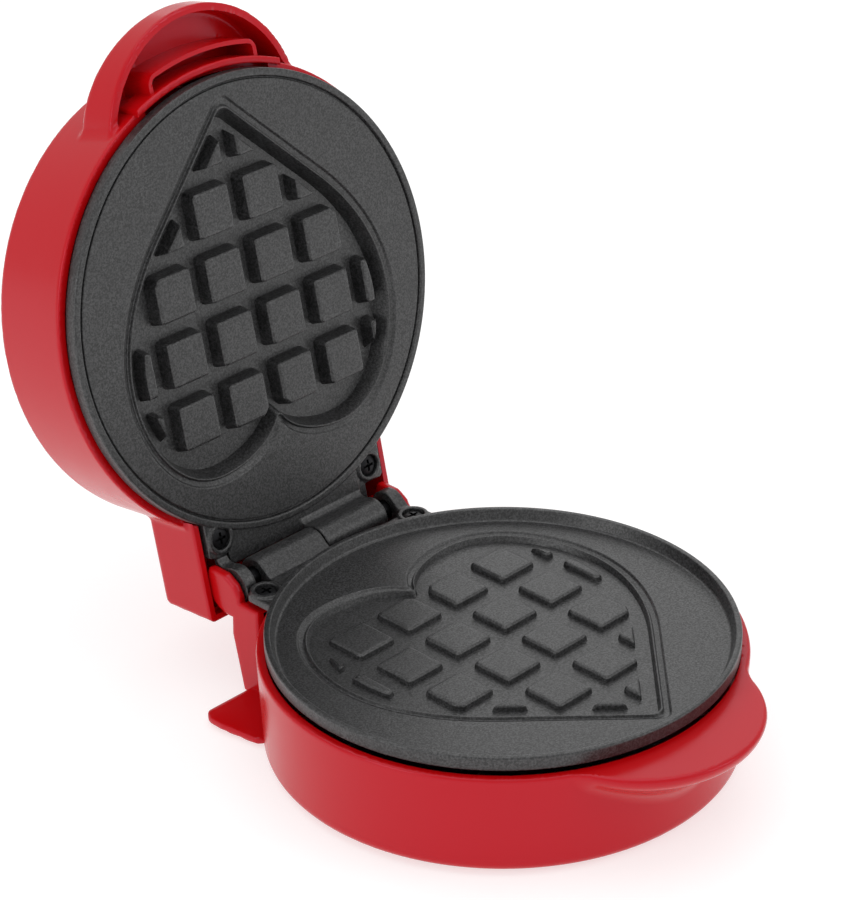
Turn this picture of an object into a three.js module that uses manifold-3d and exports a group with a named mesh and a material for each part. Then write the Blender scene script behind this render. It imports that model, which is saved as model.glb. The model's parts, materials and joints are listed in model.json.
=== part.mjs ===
// Countertop waffle maker: a round base and a hinged round lid, each with a cast plate whose
// heart-shaped recess holds a grid of pegs. Millimetres, +Z up; the grips face -Y, the hinge is at +Y.
// Every piece is described as it lies with the lid shut. The lid group is then turned about the
// hinge pin to its open stop, which is how the appliance stands.
import * as THREE from "three";
import { mergeVertices } from "three/addons/utils/BufferGeometryUtils.js";
import Module from "manifold-3d";

const wasm = await Module();
wasm.setup();

// Clearances and drawing accuracy
const fitGap = 0.3;
const runningGap = 0.5;
const overrun = 2;
const roundSteps = 64;
const smallSteps = 16;
const tipSteps = 3;
const bendSteps = 6;
const tubeSides = 8;
const elementBends = 20;
const elementSteps = 48;
const lampRings = 4;

// Housings: rim of the base and its draft, and how the lid above it is stepped
const housingClearance = 1.2;
const baseRimHeight = 28.9;
const baseRimRadius = 63.2;
const baseDraft = 1;
const basePlateGap = 1.2;
const lidPlateGap = 0.8;
const lidWallHeight = 25.1;
const lidShoulderRise = 3.5;
const lidSetback = 0.5;
const lidDraft = 1.4;
const plateInset = 2.2;

// Hinge: axis of the pin behind the base rim and below the seam, and how far the lid opens
const hingeStandoff = 6;
const hingeDrop = 4.1;
const openAngle = 101.8;
const barrelRadius = 5.2;
const earThickness = 3.6;
const earTowerGap = 0.4;
const barrelEarGap = 3.7;
const pinRadius = 2.4;
const webTopShare = 0.6;
const webFootShare = 0.9;

// Plates, measured from the plane of their rims towards the back of the casting
const flangeHeight = 3.8;
const skirtDrop = 1.8;
const skirtInset = 3.5;
const lipWidth = 1.5;
const lipRun = 1.3;
const edgeChamfer = 0.5;
const lowerLipHeight = 3;
const upperFaceDepth = 0.3;
const grooveWidth = 2;
const grooveDepth = 1.2;
const tabSideInset = 1.1;
const tabStandoff = 7.2;
const lugSideInset = 5.1;
const lugBossRadius = 4.3;
const lugBossRise = 0.6;
const lowerLugInset = 2.8;
const lowerLugDrop = 1.9;
const upperLugInset = 4.7;
const upperLugDrop = 0;
const lugRecess = 0.5;
const reflectorPostRadius = 4;

// Heart recess: half width, corner at the tip, widest level, lobe crown, cleft
const heartHalfWidth = 47.6;
const heartTipY = -56.2;
const heartTipRound = 2.2;
const heartSideEnd = 30;
const heartWidestY = 10;
const heartCrownX = 21.5;
const heartCrownY = 43.6;
const heartCleftY = 34.6;
const heartCleftRound = 1.2;
const cleftDirection = [3, 5];
const sideHandleShare = 0.34;
const lobeHandleShare = 0.385;
const crownHandleShare = 0.41;
const cleftHandleShare = 0.26;
const cleftInsetShare = 1.15;
const ledgeDrop = 0.9;
const ledgeWidth = 1.3;
const cavityDepth = 6.3;
const cavityWallRun = 5.3;
const panWall = 2.2;
const panFloor = 2.4;

// Pegs of the grid
const pegPitch = 17.43;
const pegFirstRowY = -45.6;
const pegBaseSize = 14.4;
const pegTopSize = 11.8;
const pegCorner = 1.6;
const pegClearance = 0.5;
const pegColumnsPerRow = [2, 4, 4, 6, 6];

// Base housing
const wallThickness = 2.3;
const footRound = 2.6;
const gripRadius = 32.3;
const baseGripOverhang = 14.4;
const baseGripEdge = 3;
const baseGripDepth = 15;
const baseGripRootRadius = 17;
const towerHalfWidth = 32.4;
const towerWall = 2.2;
const towerHeadRadius = 8;
const towerTopRise = 4.1;
const shieldRise = 0.4;
const wellDrop = 2.5;
const towerHeadStart = -100;
const towerFootInset = 4.7;
const towerWaistInset = 1.2;
const towerWaistZ = 17;
const wingWidth = 17.4;
const wingBackInset = 7.8;
const wingLength = 20.4;
const wingCorner = 7;
const wingThickness = 1.8;
const supportRibAngles = [-145, -35, 180, 0];
const supportRibWidth = 4;
const supportRibHeight = 14;

// Bottom cover, its feet and screws
const coverThickness = 2;
const coverInset = 4.2;
const footRadius = 5;
const footInset = 16;
const footRecess = 1;
const coverScrewInset = 2.8;
const coverBossHeight = 2.8;
const housingBossHeight = 6.5;
const cornerAngles = [45, 135, 225, 315];
const cornerNames = ["rear_right", "rear_left", "front_left", "front_right"];

// Cord inlet in the back wall, left open
const inletHeight = 9.5;
const inletBore = 4;
const inletBodyRadius = 5.6;
const inletFlangeRadius = 7.4;
const inletFlangeThickness = 1.5;

// Screws
const screwRadius = 1.5;
const screwHeadRadius = 2.8;
const screwHeadHeight = 1.4;
const screwBossRadius = 3.8;
const plateScrewLength = 11;
const coverScrewLength = 9;
const reflectorScrewLength = 6;
const crossLength = 3.2;
const crossWidth = 0.7;
const crossDepth = 0.8;

// Heating parts behind each plate
const elementRadius = 3.2;
const elementRing = 27;
const elementLegX = 8;
const elementLegInset = 13.5;
const reflectorInset = 5.5;
const reflectorSheet = 0.8;
const reflectorRim = 6.5;
const reflectorGap = 1.2;
const reflectorNotchHalf = 14;
const reflectorNotchDepth = 8;
const thermostatRadius = 7.5;
const thermostatPlace = [12, -9];
const thermostatHeight = 6.6;
const fuseRadius = 2.2;
const fuseLength = 15;
const fusePlace = [-12, -9];
const leadRadius = 1.1;
const leadBendShare = 1.2;

// Terminal block on the bottom cover
const terminalWidth = 26;
const terminalDepth = 10;
const terminalHeadroom = 2.5;
const terminalLegInset = 8;
const terminalScrewWell = 1.8;

// Lid shell
const capInset = 10.7;
const capSeatWidth = 3.2;
const capThickness = 2.1;
const lidGripOverhang = 16.4;
const lidGripLift = 2.5;
const lidGripDepth = 8.5;
const lidGripRise = 4.7;
const lidGripWall = 2;
const ribStandoff = 5.5;
const ribGripInset = 13.8;
const ribWall = 1.2;
const hingeCoverMargin = 2.3;
const hingeCoverWall = 1.8;
const hingeCoverDrop = 2.9;
const hingeCoverHeight = 18.5;
const hingeCoverTopReach = 7.7;
const hingeCoverRimReach = 10;
const lidBossHeight = 12;

// Indicator window and its lamp
const windowHalfWidth = 1;
const windowLength = 22;
const windowInset = 3.6;
const lensFlangeHalfWidth = 3;
const lensFlangeThickness = 1.2;
const lampRadius = 2.6;
const lampLength = 12;

// Values that follow from the sizes above
const turn = Math.PI / 180;
const arcShare = 1 - Math.SQRT1_2;
const seamHeight = baseRimHeight + basePlateGap + flangeHeight;
const upperRimPlane = seamHeight + fitGap;
const lidRimHeight = upperRimPlane + flangeHeight + lidPlateGap;
const shoulderHeight = lidRimHeight + lidWallHeight;
const lidTopHeight = shoulderHeight + lidShoulderRise;
const hingeY = baseRimRadius + hingeStandoff;
const hingeZ = seamHeight - hingeDrop;
const plateRadius = baseRimRadius - plateInset;
const tabReach = hingeY - tabStandoff;
const baseFootRadius = baseRimRadius - baseDraft;
const baseGripCentreY = gripRadius - baseGripOverhang - baseRimRadius;
const towerTop = hingeZ + towerTopRise;
const shieldTop = hingeZ + shieldRise;
const towerFootY = hingeY - towerFootInset;
const towerWaistY = hingeY - towerWaistInset;
const wingBackY = hingeY - wingBackInset;
const wingFrontY = wingBackY - wingLength;
const coverRadius = baseFootRadius - coverInset;
const footPitchRadius = coverRadius - footInset;
const coverScrewPitchRadius = coverRadius - coverScrewInset;
const lidRimRadius = baseRimRadius - lidSetback;
const lidShoulderRadius = lidRimRadius - lidDraft;
const capRadius = lidShoulderRadius - capInset;
const lidGripCentreY = gripRadius - lidGripOverhang - lidRimRadius;
const lidGripRim = lidRimHeight + lidGripLift;
const lidGripTop = lidGripRim + lidGripDepth;
const ribRadius = lidRimRadius + ribStandoff;
const ribHalfWidth = gripRadius - ribGripInset;
const hingeCoverHalfWidth = towerHalfWidth + hingeCoverMargin;
const hingeCoverRim = lidRimHeight - hingeCoverDrop;
const hingeCoverTop = hingeCoverRim + hingeCoverHeight;
const hingeCoverTopY = hingeY + hingeCoverTopReach;
const hingeCoverRimY = hingeY + hingeCoverRimReach;
const windowBackY = capRadius - windowInset;
const windowFrontY = windowBackY - windowLength;
const skirtDepth = flangeHeight + skirtDrop;
const skirtRadius = plateRadius - skirtInset;
const reflectorRadius = skirtRadius - reflectorInset;
const elementLegEnd = skirtRadius - elementLegInset;
const reflectorNotchY = elementLegEnd - reflectorNotchDepth;
const terminalY = elementLegEnd - terminalLegInset;
const bodyBottom = housingClearance;
const baseInnerRadius = baseRimRadius - wallThickness;
const lidInnerRadius = lidRimRadius - wallThickness;
const wellHalfWidth = towerHalfWidth - towerWall;
const tabHalfWidth = towerHalfWidth - tabSideInset;
const lugX = towerHalfWidth - lugSideInset;
const wingReach = towerHalfWidth + wingWidth;
const wellRadius = barrelRadius + runningGap;
const earOuter = wellHalfWidth - earTowerGap;
const earInner = earOuter - earThickness;
const barrelEnd = earInner - barrelEarGap;
const pinBore = pinRadius + fitGap;
const screwBore = screwRadius + fitGap;
const headBore = screwHeadRadius + fitGap;
const bottomCoverTop = bodyBottom + coverThickness;
const lowerPanBottom = seamHeight - lowerLipHeight - cavityDepth - panFloor;
const elementBackDepth = 2 * elementRadius + reflectorGap + fitGap;
const reflectorBottom = lowerPanBottom - elementBackDepth - reflectorSheet;
const terminalHeight = reflectorBottom - terminalHeadroom - bottomCoverTop - fitGap;
const lowerLug = { y: tabReach - lowerLugInset, drop: lowerLugDrop, under: seamHeight - baseRimHeight - fitGap };
const upperLug = { y: tabReach - upperLugInset, drop: upperLugDrop, under: flangeHeight };

// Turns a three.js geometry into a solid that can be joined and cut.
function solid(geometry) {
  let bare = geometry.clone();
  bare.deleteAttribute("normal");
  bare.deleteAttribute("uv");
  bare = mergeVertices(bare);
  const vertProperties = new Float32Array(bare.attributes.position.array);
  const triVerts = new Uint32Array(bare.index.array);
  return new wasm.Manifold(new wasm.Mesh({ numProp: 3, vertProperties, triVerts }));
}

function geometryOf(body) {
  const mesh = body.getMesh();
  const geometry = new THREE.BufferGeometry();
  geometry.setAttribute("position", new THREE.BufferAttribute(new Float32Array(mesh.vertProperties), 3));
  geometry.setIndex(new THREE.BufferAttribute(new Uint32Array(mesh.triVerts), 1));
  return geometry;
}

const joined = (...bodies) => bodies.reduce((sum, body) => sum.add(body));
const cut = (body, ...cutters) => cutters.reduce((rest, cutter) => rest.subtract(cutter), body);

function box(lowX, highX, lowY, highY, lowZ, highZ) {
  const geometry = new THREE.BoxGeometry(highX - lowX, highY - lowY, highZ - lowZ);
  return solid(geometry.translate((lowX + highX) / 2, (lowY + highY) / 2, (lowZ + highZ) / 2));
}

// An upright round bar at (x, y), and one that lies along X about the hinge axis.
function bar(radius, x, y, lowZ, highZ, steps = smallSteps) {
  const geometry = new THREE.CylinderGeometry(radius, radius, highZ - lowZ, steps);
  return solid(geometry.rotateX(Math.PI / 2).translate(x, y, (lowZ + highZ) / 2));
}

function crossBar(radius, lowX, highX, y, z, steps = 2 * smallSteps) {
  const geometry = new THREE.CylinderGeometry(radius, radius, highX - lowX, steps);
  return solid(geometry.rotateZ(Math.PI / 2).translate((lowX + highX) / 2, y, z));
}

// A turned body from a profile of [radius, height] pairs, listed anticlockwise.
function turned(profile, steps = roundSteps) {
  const onAxis = profile[0][0] === 0;
  const points = profile.map(([radius, height]) => new THREE.Vector2(radius, height));
  if (!onAxis) points.push(points[0].clone());
  return solid(new THREE.LatheGeometry(points, steps).rotateX(Math.PI / 2));
}

// A plate of even thickness from a plan outline, and a side outline of [y, z] pairs swept along X.
function slab(shape, lowZ, highZ) {
  const options = { depth: highZ - lowZ, bevelEnabled: false, curveSegments: bendSteps };
  return solid(new THREE.ExtrudeGeometry(shape, options).translate(0, 0, lowZ));
}

function sideSlab(outline, lowX, highX) {
  const shape = new THREE.Shape(outline.map(([y, z]) => new THREE.Vector2(y, z)));
  const options = { depth: highX - lowX, bevelEnabled: false };
  const geometry = new THREE.ExtrudeGeometry(shape, options);
  return solid(geometry.rotateZ(Math.PI / 2).rotateY(Math.PI / 2).translate(lowX, 0, 0));
}

// A closed solid through stacked outlines that all have the same number of points.
function loft(layers) {
  const count = layers[0].points.length;
  const positions = layers.flatMap(({ points, z }) => points.flatMap((point) => [point.x, point.y, z]));
  const index = [];
  for (let layer = 0; layer + 1 < layers.length; layer++) {
    for (let step = 0; step < count; step++) {
      const here = layer * count + step;
      const next = layer * count + ((step + 1) % count);
      index.push(here, next, next + count, here, next + count, here + count);
    }
  }
  const top = (layers.length - 1) * count;
  for (const [a, b, c] of THREE.ShapeUtils.triangulateShape(layers[0].points, [])) {
    index.push(c, b, a);
  }
  for (const [a, b, c] of THREE.ShapeUtils.triangulateShape(layers.at(-1).points, [])) {
    index.push(top + a, top + b, top + c);
  }
  const geometry = new THREE.BufferGeometry();
  geometry.setAttribute("position", new THREE.Float32BufferAttribute(positions, 3));
  geometry.setIndex(index);
  return solid(geometry);
}

// A round tube along a smooth path through the given points.
function tube(points, radius, sides, steps) {
  const path = new THREE.CatmullRomCurve3(points.map((point) => new THREE.Vector3(...point)));
  const section = new THREE.Shape();
  for (let side = 0; side < sides; side++) {
    const angle = (side / sides) * 2 * Math.PI;
    const corner = [radius * Math.cos(angle), radius * Math.sin(angle)];
    if (side === 0) section.moveTo(...corner);
    else section.lineTo(...corner);
  }
  section.closePath();
  return solid(new THREE.ExtrudeGeometry(section, { steps, extrudePath: path, bevelEnabled: false }));
}

const onCircle = (radius, degrees) => [radius * Math.cos(degrees * turn), radius * Math.sin(degrees * turn)];

// Heart outline with its tip at -Y, drawn anticlockwise; inset moves every wall inwards.
function heartOutline(inset) {
  const tipY = heartTipY + inset * Math.SQRT2;
  const right = [];
  for (let step = 0; step <= tipSteps; step++) {
    const [x, y] = onCircle(heartTipRound, -90 + (step / tipSteps) * 45);
    right.push(new THREE.Vector2(x, tipY + heartTipRound * Math.SQRT2 + y));
  }
  const slant = inset / Math.SQRT2;
  const side = new THREE.Vector2(heartSideEnd - slant, heartTipY + heartSideEnd + slant);
  const widest = new THREE.Vector2(heartHalfWidth - inset, heartWidestY);
  const crown = new THREE.Vector2(heartCrownX, heartCrownY - inset);
  const cleftY = heartCleftY - cleftInsetShare * inset;
  const cleftEdge = new THREE.Vector2(heartCleftRound, cleftY + heartCleftRound * Math.SQRT1_2);
  const curves = [
    bend(side, [1, 1], widest, [0, -1], sideHandleShare, sideHandleShare),
    bend(widest, [0, 1], crown, [1, 0], lobeHandleShare, lobeHandleShare),
    bend(crown, [-1, 0], cleftEdge, cleftDirection, crownHandleShare, cleftHandleShare),
  ];
  for (const curve of curves) {
    right.push(...curve.getPoints(bendSteps).slice(curve === curves[0] ? 0 : 1));
  }
  right.push(new THREE.Vector2(0, cleftY));
  const left = right.slice(1, -1).reverse().map((point) => new THREE.Vector2(-point.x, point.y));
  return [...right, ...left];
}

// A curve between two points that leaves each along its direction, by a share of their distance.
function bend(from, leaving, to, arriving, leavingShare, arrivingShare) {
  const reach = from.distanceTo(to);
  const first = new THREE.Vector2(...leaving).setLength(reach * leavingShare).add(from);
  const second = new THREE.Vector2(...arriving).setLength(reach * arrivingShare).add(to);
  return new THREE.CubicBezierCurve(from, first, second, to);
}

function pegOutline(x, y, size) {
  const half = size / 2;
  const flat = half - pegCorner;
  const corners = [[half, -flat], [half, flat], [flat, half], [-flat, half]];
  const opposite = corners.map(([a, b]) => [-a, -b]);
  return [...corners, ...opposite].map(([a, b]) => new THREE.Vector2(x + a, y + b));
}

// All pegs of one plate, each clipped where the heart's floor ends.
function pegs(faceZ) {
  const floorZ = faceZ - cavityDepth;
  const clip = heartOutline(cavityWallRun + pegClearance);
  const clipper = loft([{ points: clip, z: floorZ - overrun }, { points: clip, z: faceZ + overrun }]);
  const bodies = [];
  pegColumnsPerRow.forEach((columns, row) => {
    const y = pegFirstRowY + row * pegPitch;
    for (let column = 0; column < columns; column++) {
      const x = (column - (columns - 1) / 2) * pegPitch;
      bodies.push(loft([
        { points: pegOutline(x, y, pegBaseSize), z: floorZ - panFloor / 2 },
        { points: pegOutline(x, y, pegBaseSize), z: floorZ },
        { points: pegOutline(x, y, pegTopSize), z: faceZ },
      ]));
    }
  });
  return joined(...bodies).intersect(clipper);
}

// One cast plate with its cooking side up and its rim plane at z = 0. hingeLevel is the height of
// the pin in this frame, lug gives the fastening lugs' place and how far their tops and undersides
// lie below the rim plane, and web is the side outline that joins the tab to barrel and ear.
function plate(faceDepth, faceRadius, hingeLevel, lug, web) {
  const faceZ = -faceDepth;
  const floorZ = faceZ - cavityDepth;
  const panBottom = floorZ - panFloor;
  const tabTop = -lug.drop - lugBossRise;
  let body = joined(
    turned([
      [0, -flangeHeight], [plateRadius, -flangeHeight], [plateRadius, -edgeChamfer],
      [plateRadius - edgeChamfer, 0], [0, 0],
    ]),
    bar(skirtRadius, 0, 0, -skirtDepth, -edgeChamfer, roundSteps),
    box(-tabHalfWidth, tabHalfWidth, tabReach / 2, tabReach, -lug.under, tabTop),
    bar(lugBossRadius, -lugX, lug.y, -lug.under, -lug.drop),
    bar(lugBossRadius, lugX, lug.y, -lug.under, -lug.drop),
  );
  body = joined(
    body,
    loft([
      { points: heartOutline(cavityWallRun - panWall), z: panBottom },
      { points: heartOutline(-panWall), z: -flangeHeight },
    ]),
    bar(reflectorPostRadius, 0, 0, panBottom - elementRadius * 2 - reflectorGap, floorZ - panFloor / 2),
    crossBar(barrelRadius, -barrelEnd, -fitGap, hingeY, hingeLevel),
    crossBar(barrelRadius, earInner, earOuter, hingeY, hingeLevel),
    sideSlab(web, -barrelEnd, -fitGap),
    sideSlab(web, earInner, earOuter),
  );
  const dish = faceRadius > 0
    ? turned([
      [0, faceZ], [faceRadius, faceZ], [plateRadius - lipWidth, -edgeChamfer],
      [plateRadius - lipWidth, overrun], [0, overrun],
    ])
    : turned([
      [plateRadius - lipWidth - grooveWidth, -grooveDepth], [plateRadius - lipWidth, -grooveDepth],
      [plateRadius - lipWidth, overrun], [0, overrun], [0, faceZ],
      [plateRadius - lipWidth - grooveWidth, faceZ],
    ]);
  const cavity = loft([
    { points: heartOutline(cavityWallRun), z: floorZ },
    { points: heartOutline(ledgeWidth), z: faceZ - ledgeDrop },
    { points: heartOutline(0), z: faceZ - ledgeDrop },
    { points: heartOutline(0), z: overrun },
  ]);
  const lugFloor = -lug.drop - screwHeadHeight - lugRecess;
  body = cut(
    body, dish, cavity,
    crossBar(pinBore, -barrelEnd - overrun, earOuter + overrun, hingeY, hingeLevel),
    bar(screwBore, 0, 0, panBottom - reflectorScrewLength * 2, floorZ - panFloor / 2),
  );
  for (const x of [-lugX, lugX]) {
    body = cut(
      body,
      bar(headBore, x, lug.y, lugFloor, overrun),
      bar(screwBore, x, lug.y, -lug.under - overrun, overrun),
    );
  }
  return joined(body, pegs(faceZ));
}

// Pan-head screw with a cross recess, its head's seat at z = 0 and its head upwards.
function screw(length) {
  const body = joined(
    bar(screwHeadRadius, 0, 0, 0, screwHeadHeight),
    bar(screwRadius, 0, 0, -length, screwHeadHeight / 2),
  );
  const floor = screwHeadHeight - crossDepth;
  const arm = crossLength / 2;
  const half = crossWidth / 2;
  return cut(
    body,
    box(-arm, arm, -half, half, floor, screwHeadHeight + overrun),
    box(-half, half, -arm, arm, floor, screwHeadHeight + overrun),
  );
}

// Tubular heater bent to a ring with two straight legs, its axis at z = 0.
function heatingElement() {
  const leg = Math.asin(elementLegX / elementRing) / turn;
  const points = [[-elementLegX, elementLegEnd, 0], [-elementLegX, (elementLegEnd + elementRing) / 2, 0]];
  for (let step = 0; step <= elementBends; step++) {
    const degrees = 90 + leg * 2 + (step / elementBends) * (360 - leg * 4);
    points.push([...onCircle(elementRing, degrees), 0]);
  }
  points.push([elementLegX, (elementLegEnd + elementRing) / 2, 0], [elementLegX, elementLegEnd, 0]);
  return tube(points, elementRadius, tubeSides, elementSteps);
}

// Sheet-metal dish behind the heater, open side up, its sheet resting at z = 0.
function reflector() {
  const inner = reflectorRadius - reflectorSheet;
  const dish = turned([
    [0, -reflectorSheet], [inner, -reflectorSheet], [reflectorRadius, 0], [reflectorRadius, reflectorRim],
    [inner, reflectorRim], [inner, 0], [0, 0],
  ]);
  return cut(
    dish,
    bar(screwBore, 0, 0, -overrun, overrun),
    box(
      -reflectorNotchHalf, reflectorNotchHalf, reflectorNotchY, reflectorRadius + overrun,
      -overrun, reflectorRim + overrun,
    ),
  );
}

// Base housing with its front grip, the two hinge towers, the shield between them and the wing feet.
function baseHousing() {
  const rim = baseRimHeight;
  const foot = bodyBottom + footRound;
  const outer = turned([
    [0, bodyBottom], [baseFootRadius - footRound, bodyBottom],
    [baseFootRadius - footRound * arcShare, bodyBottom + footRound * arcShare], [baseFootRadius, foot],
    [baseRimRadius, rim - edgeChamfer], [baseRimRadius - edgeChamfer, rim], [0, rim],
  ]);
  const grip = turned([
    [0, rim - baseGripDepth], [baseGripRootRadius, rim - baseGripDepth],
    [gripRadius - edgeChamfer, rim - baseGripEdge], [gripRadius, rim - baseGripEdge + edgeChamfer],
    [gripRadius, rim - edgeChamfer], [gripRadius - edgeChamfer, rim], [0, rim],
  ]);
  const gripInside = turned([
    [0, rim - baseGripDepth + wallThickness],
    [baseGripRootRadius - wallThickness, rim - baseGripDepth + wallThickness],
    [gripRadius - 2 * wallThickness, rim - baseGripEdge], [gripRadius - wallThickness, rim - wallThickness],
    [0, rim - wallThickness],
  ]);
  const atGrip = new THREE.Vector3(0, baseGripCentreY, 0);
  const placed = (body, at) => solid(geometryOf(body).translate(at.x, at.y, at.z));

  const head = [];
  const topAngle = Math.asin((towerTop - hingeZ) / towerHeadRadius) / turn;
  for (let step = 0; step <= 2 * bendSteps; step++) {
    const degrees = towerHeadStart + (step / (2 * bendSteps)) * (topAngle - towerHeadStart);
    const [y, z] = onCircle(towerHeadRadius, degrees);
    head.push([hingeY + y, hingeZ + z]);
  }
  const towerFront = hingeY - barrelRadius + runningGap;
  const tower = sideSlab([
    [tabReach / 2, bodyBottom], [towerFootY, bodyBottom], [towerWaistY, towerWaistZ], ...head,
    [hingeY + runningGap, towerTop], [(towerFront + hingeY) / 2, (towerTop + hingeZ) / 2 + edgeChamfer],
    [towerFront, rim], [tabReach / 2, rim],
  ], -towerHalfWidth, towerHalfWidth);
  const wellFrontY = tabReach;
  const well = joined(
    crossBar(wellRadius, -wellHalfWidth, wellHalfWidth, hingeY, hingeZ),
    box(
      -wellHalfWidth, wellHalfWidth, wellFrontY, hingeY + wellRadius,
      hingeZ - wellDrop, towerTop + overrun,
    ),
    box(-wellHalfWidth, wellHalfWidth, wellFrontY, hingeCoverRimY, shieldTop, towerTop + overrun),
  );
  const backInset = wallThickness + edgeChamfer;
  const pocket = cut(
    sideSlab([
      [tabReach / 2, bodyBottom - overrun], [towerFootY - backInset, bodyBottom - overrun],
      [towerFootY - backInset, bodyBottom], [towerWaistY - backInset, towerWaistZ],
      [wellFrontY - wallThickness, hingeZ - wellRadius],
      [wellFrontY - wallThickness, rim - wallThickness], [tabReach / 2, rim - wallThickness],
    ], -wellHalfWidth, wellHalfWidth),
    bar(baseRimRadius - edgeChamfer, 0, 0, bodyBottom + coverThickness + fitGap, rim, roundSteps),
  );
  const inside = turned([
    [0, bodyBottom - overrun], [coverRadius + fitGap, bodyBottom - overrun],
    [coverRadius + fitGap, bottomCoverTop + fitGap], [baseFootRadius - wallThickness, foot + overrun],
    [baseInnerRadius, rim + overrun], [0, rim + overrun],
  ]);
  const slope = Math.atan((towerWaistY - towerFootY) / (towerWaistZ - bodyBottom));
  const inletHole = new THREE.CylinderGeometry(
    inletBodyRadius + fitGap, inletBodyRadius + fitGap, 4 * overrun + wallThickness, smallSteps,
  );
  const [inletY, inletZ] = inletPlace(slope);
  inletHole.rotateX(-slope).translate(0, inletY, inletZ);

  let body = joined(outer, placed(grip, atGrip), tower, ...wings());
  const gripHollow = cut(placed(gripInside, atGrip), box(-plateRadius, plateRadius, 0, plateRadius, 0, rim));
  body = cut(body, inside, gripHollow, pocket, well, solid(inletHole));
  body = cut(body, box(-inletFlangeRadius, inletFlangeRadius, tabReach - 3 * wallThickness, tabReach,
    bottomCoverTop, inletHeight + inletFlangeRadius));
  const extras = [];
  for (const x of [-lugX, lugX]) {
    extras.push(bar(screwBossRadius, x, lowerLug.y, rim - plateScrewLength, rim - wallThickness / 2));
  }
  for (const angle of supportRibAngles) {
    extras.push(radialBlock(angle, skirtRadius + fitGap, baseRimRadius - wallThickness / 2,
      supportRibWidth, rim - supportRibHeight, seamHeight - flangeHeight - fitGap));
  }
  const bossBottom = bottomCoverTop + coverBossHeight + fitGap;
  for (const angle of cornerAngles) {
    const [x, y] = onCircle(coverScrewPitchRadius, angle);
    extras.push(bar(screwBossRadius, x, y, bossBottom, bossBottom + housingBossHeight));
    extras.push(radialBlock(angle, coverScrewPitchRadius, baseFootRadius - wallThickness / 2,
      supportRibWidth, bossBottom, bossBottom + housingBossHeight));
  }
  body = joined(body, ...extras);
  for (const x of [-lugX, lugX]) {
    body = cut(body, bar(screwBore, x, lowerLug.y, rim - plateScrewLength + overrun / 2, seamHeight));
  }
  for (const angle of cornerAngles) {
    const [x, y] = onCircle(coverScrewPitchRadius, angle);
    body = cut(body, bar(screwBore, x, y, bossBottom - overrun, bossBottom + housingBossHeight + overrun));
  }
  return body;
}

// A block that runs outwards along a radius, as wide as stated.
function radialBlock(degrees, innerRadius, outerRadius, width, lowZ, highZ) {
  const geometry = new THREE.BoxGeometry(outerRadius - innerRadius, width, highZ - lowZ);
  geometry.translate((innerRadius + outerRadius) / 2, 0, (lowZ + highZ) / 2);
  return solid(geometry.rotateZ(degrees * turn));
}

// Flat feet beside the towers that keep the open appliance from tipping back.
function wings() {
  return [-1, 1].map((side) => {
    const shape = new THREE.Shape();
    shape.moveTo(side * lugX, wingFrontY);
    shape.lineTo(side * (wingReach - wingCorner / 2), wingFrontY);
    shape.lineTo(side * wingReach, wingBackY - wingCorner);
    shape.quadraticCurveTo(side * wingReach, wingBackY, side * (wingReach - wingCorner), wingBackY);
    shape.lineTo(side * lugX, wingBackY);
    shape.closePath();
    return slab(shape, bodyBottom, bodyBottom + wingThickness);
  });
}

// Middle of the inlet hole on the sloping back wall.
function inletPlace(slope) {
  const y = towerFootY + (inletHeight - bodyBottom) * Math.tan(slope);
  return [y, inletHeight];
}

function bottomCover() {
  const top = bottomCoverTop;
  const tongueHalf = wellHalfWidth - fitGap;
  const tongueY = towerFootY - wallThickness - edgeChamfer - fitGap;
  let body = joined(
    turned([
      [0, bodyBottom], [coverRadius - edgeChamfer, bodyBottom], [coverRadius, bodyBottom + edgeChamfer],
      [coverRadius, top], [0, top],
    ]),
    box(-tongueHalf, tongueHalf, tabReach / 2, tongueY, bodyBottom, top),
  );
  for (const angle of cornerAngles) {
    const [x, y] = onCircle(coverScrewPitchRadius, angle);
    const boss = bar(headBore + wallThickness / 2, x, y, bodyBottom, top + coverBossHeight);
    body = joined(body, boss.intersect(bar(coverRadius, 0, 0, 0, baseRimHeight, roundSteps)));
  }
  for (const angle of cornerAngles) {
    const [x, y] = onCircle(coverScrewPitchRadius, angle);
    const [footX, footY] = onCircle(footPitchRadius, angle);
    body = cut(
      body,
      bar(headBore, x, y, bodyBottom - overrun, top + fitGap),
      bar(screwBore, x, y, bodyBottom - overrun, top + 2 * coverBossHeight),
      bar(footRadius + fitGap, footX, footY, bodyBottom - overrun, bodyBottom + footRecess),
    );
  }
  return body;
}

function rubberFoot() {
  return turned([
    [0, 0], [footRadius - edgeChamfer, 0], [footRadius, edgeChamfer],
    [footRadius, bodyBottom + footRecess - fitGap], [0, bodyBottom + footRecess - fitGap],
  ], smallSteps);
}

// Round bushing whose flange lies against the outside of the back wall; its axis is the local Y.
function cordInletBushing() {
  const neck = wallThickness + 2 * edgeChamfer;
  const profile = [
    [inletBore, -neck], [inletBodyRadius, -neck], [inletBodyRadius, fitGap],
    [inletFlangeRadius, fitGap], [inletFlangeRadius, fitGap + inletFlangeThickness],
    [inletBore, fitGap + inletFlangeThickness],
  ].map(([radius, height]) => new THREE.Vector2(radius, height));
  return solid(new THREE.LatheGeometry([...profile, profile[0].clone()], smallSteps));
}

function terminalBlock() {
  const low = bottomCoverTop + fitGap;
  const high = low + terminalHeight;
  let body = box(
    -terminalWidth / 2, terminalWidth / 2, terminalY - terminalDepth / 2, terminalY + terminalDepth / 2,
    low, high,
  );
  for (const x of [-elementLegX, 0, elementLegX]) {
    body = cut(body, bar(terminalScrewWell, x, terminalY, high - terminalHeight / 2, high + overrun));
  }
  return body;
}

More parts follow.
